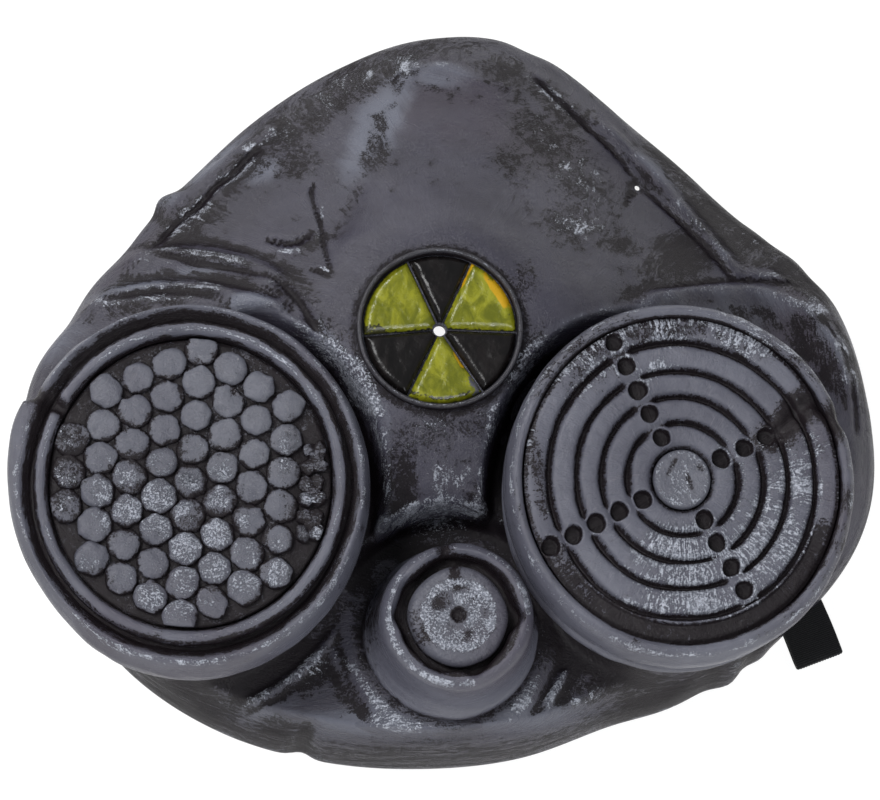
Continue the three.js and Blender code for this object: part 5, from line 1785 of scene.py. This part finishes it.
CAMERA_ELEVATION = 76 * RAD
CAMERA_YAW = 4 * RAD
CAMERA_DISTANCE = 850.0
CAMERA_TARGET = (1.9, -11.3, 45.0)
SENSOR = 36.0
FOCAL_PIXELS = 3400
PICTURE_WIDTH = 880

# Where the lights stand and their sizes, in metres, their power in watts and their colour.
LIGHT_AIM = (0, 0, 0.05)
LIGHTS = [
    # name, place, size, power, colour
    ("key", (-0.6, 0.16, 1.05), 0.5, 8.0, (1, 1, 1)),
    ("glint", (-0.62, 0.85, 0.8), 0.1, 4.6, (1, 1, 1)),
    ("low_glint", (0.35, -0.95, 0.75), 0.1, 2.0, (1, 1, 1)),
    ("fill", (0.15, -0.75, 0.95), 0.6, 4.0, (0.94, 0.97, 1.0)),
]


def studio_camera():
    level = math.cos(CAMERA_YAW)
    back = (-math.sin(CAMERA_YAW), -math.cos(CAMERA_ELEVATION) * level, math.sin(CAMERA_ELEVATION) * level)
    back = Vector(back).normalized()
    right = (-back).cross(Vector((0, 1, 0))).normalized()
    up = right.cross(-back)
    data = bpy.data.cameras.new("studio_camera")
    data.sensor_width = SENSOR
    data.lens = FOCAL_PIXELS / PICTURE_WIDTH * SENSOR
    data.clip_start, data.clip_end = 0.02, 20
    camera = bpy.data.objects.new("studio_camera", data)
    place = Vector((CAMERA_TARGET + VENT) * MM) + back * CAMERA_DISTANCE * MM
    camera.matrix_world = Matrix.Translation(place) @ Matrix((right, up, back)).transposed().to_4x4()
    bpy.context.scene.collection.objects.link(camera)
    bpy.context.scene.camera = camera


def soft_light(name, place, size, power, colour):
    data = bpy.data.lights.new(name, "AREA")
    data.shape = "SQUARE"
    data.size = size
    data.energy = power
    data.color = colour
    light = bpy.data.objects.new(name, data)
    light.location = place
    light.rotation_euler = (Vector(place) - Vector(LIGHT_AIM)).to_track_quat("Z", "Y").to_euler()
    bpy.context.scene.collection.objects.link(light)


def studio_floor():
    material, tree, surface = new_paint("studio_white")
    place = add(tree, "ShaderNodeTexCoord").outputs["Object"]
    grain = noise(tree, place, 60, 3, 0.5)
    shade = blend(tree, grain, (0.2, 0.2, 0.2, 1), (0.22, 0.22, 0.22, 1))
    tree.links.new(shade, surface.inputs["Base Color"])
    surface.inputs["Roughness"].default_value = 0.9
    surface.inputs["Specular IOR Level"].default_value = 0.1
    surface.inputs["Emission Color"].default_value = (1, 1, 1, 1)
    surface.inputs["Emission Strength"].default_value = 0.9
    mesh = bpy.data.meshes.new("floor")
    half = 4.0
    corners = [(-half, -half, 0), (half, -half, 0), (half, half, 0), (-half, half, 0)]
    mesh.from_pydata(corners, [], [(0, 1, 2, 3)])
    mesh.materials.append(material)
    floor = bpy.data.objects.new("floor", mesh)
    bpy.context.scene.collection.objects.link(floor)


def studio():
    studio_camera()
    world = bpy.data.worlds.new("studio_air")
    world.use_nodes = True
    sky = world.node_tree.nodes["Background"]
    sky.inputs[0].default_value = (0.93, 0.96, 1.0, 1)
    sky.inputs[1].default_value = 0.32
    bpy.context.scene.world = world
    bpy.context.scene.view_settings.view_transform = "Standard"
    for row in LIGHTS:
        soft_light(*row)
    studio_floor()


studio()
mask_skin()
left_drum()
left_ring()
honeycomb()
right_drum()
right_grille()
right_hub()
valve_body()
valve_button()
badge_ring()
for row in BADGE_FIELDS:
    badge_field(*row)
head_strap()
strap_rivets()
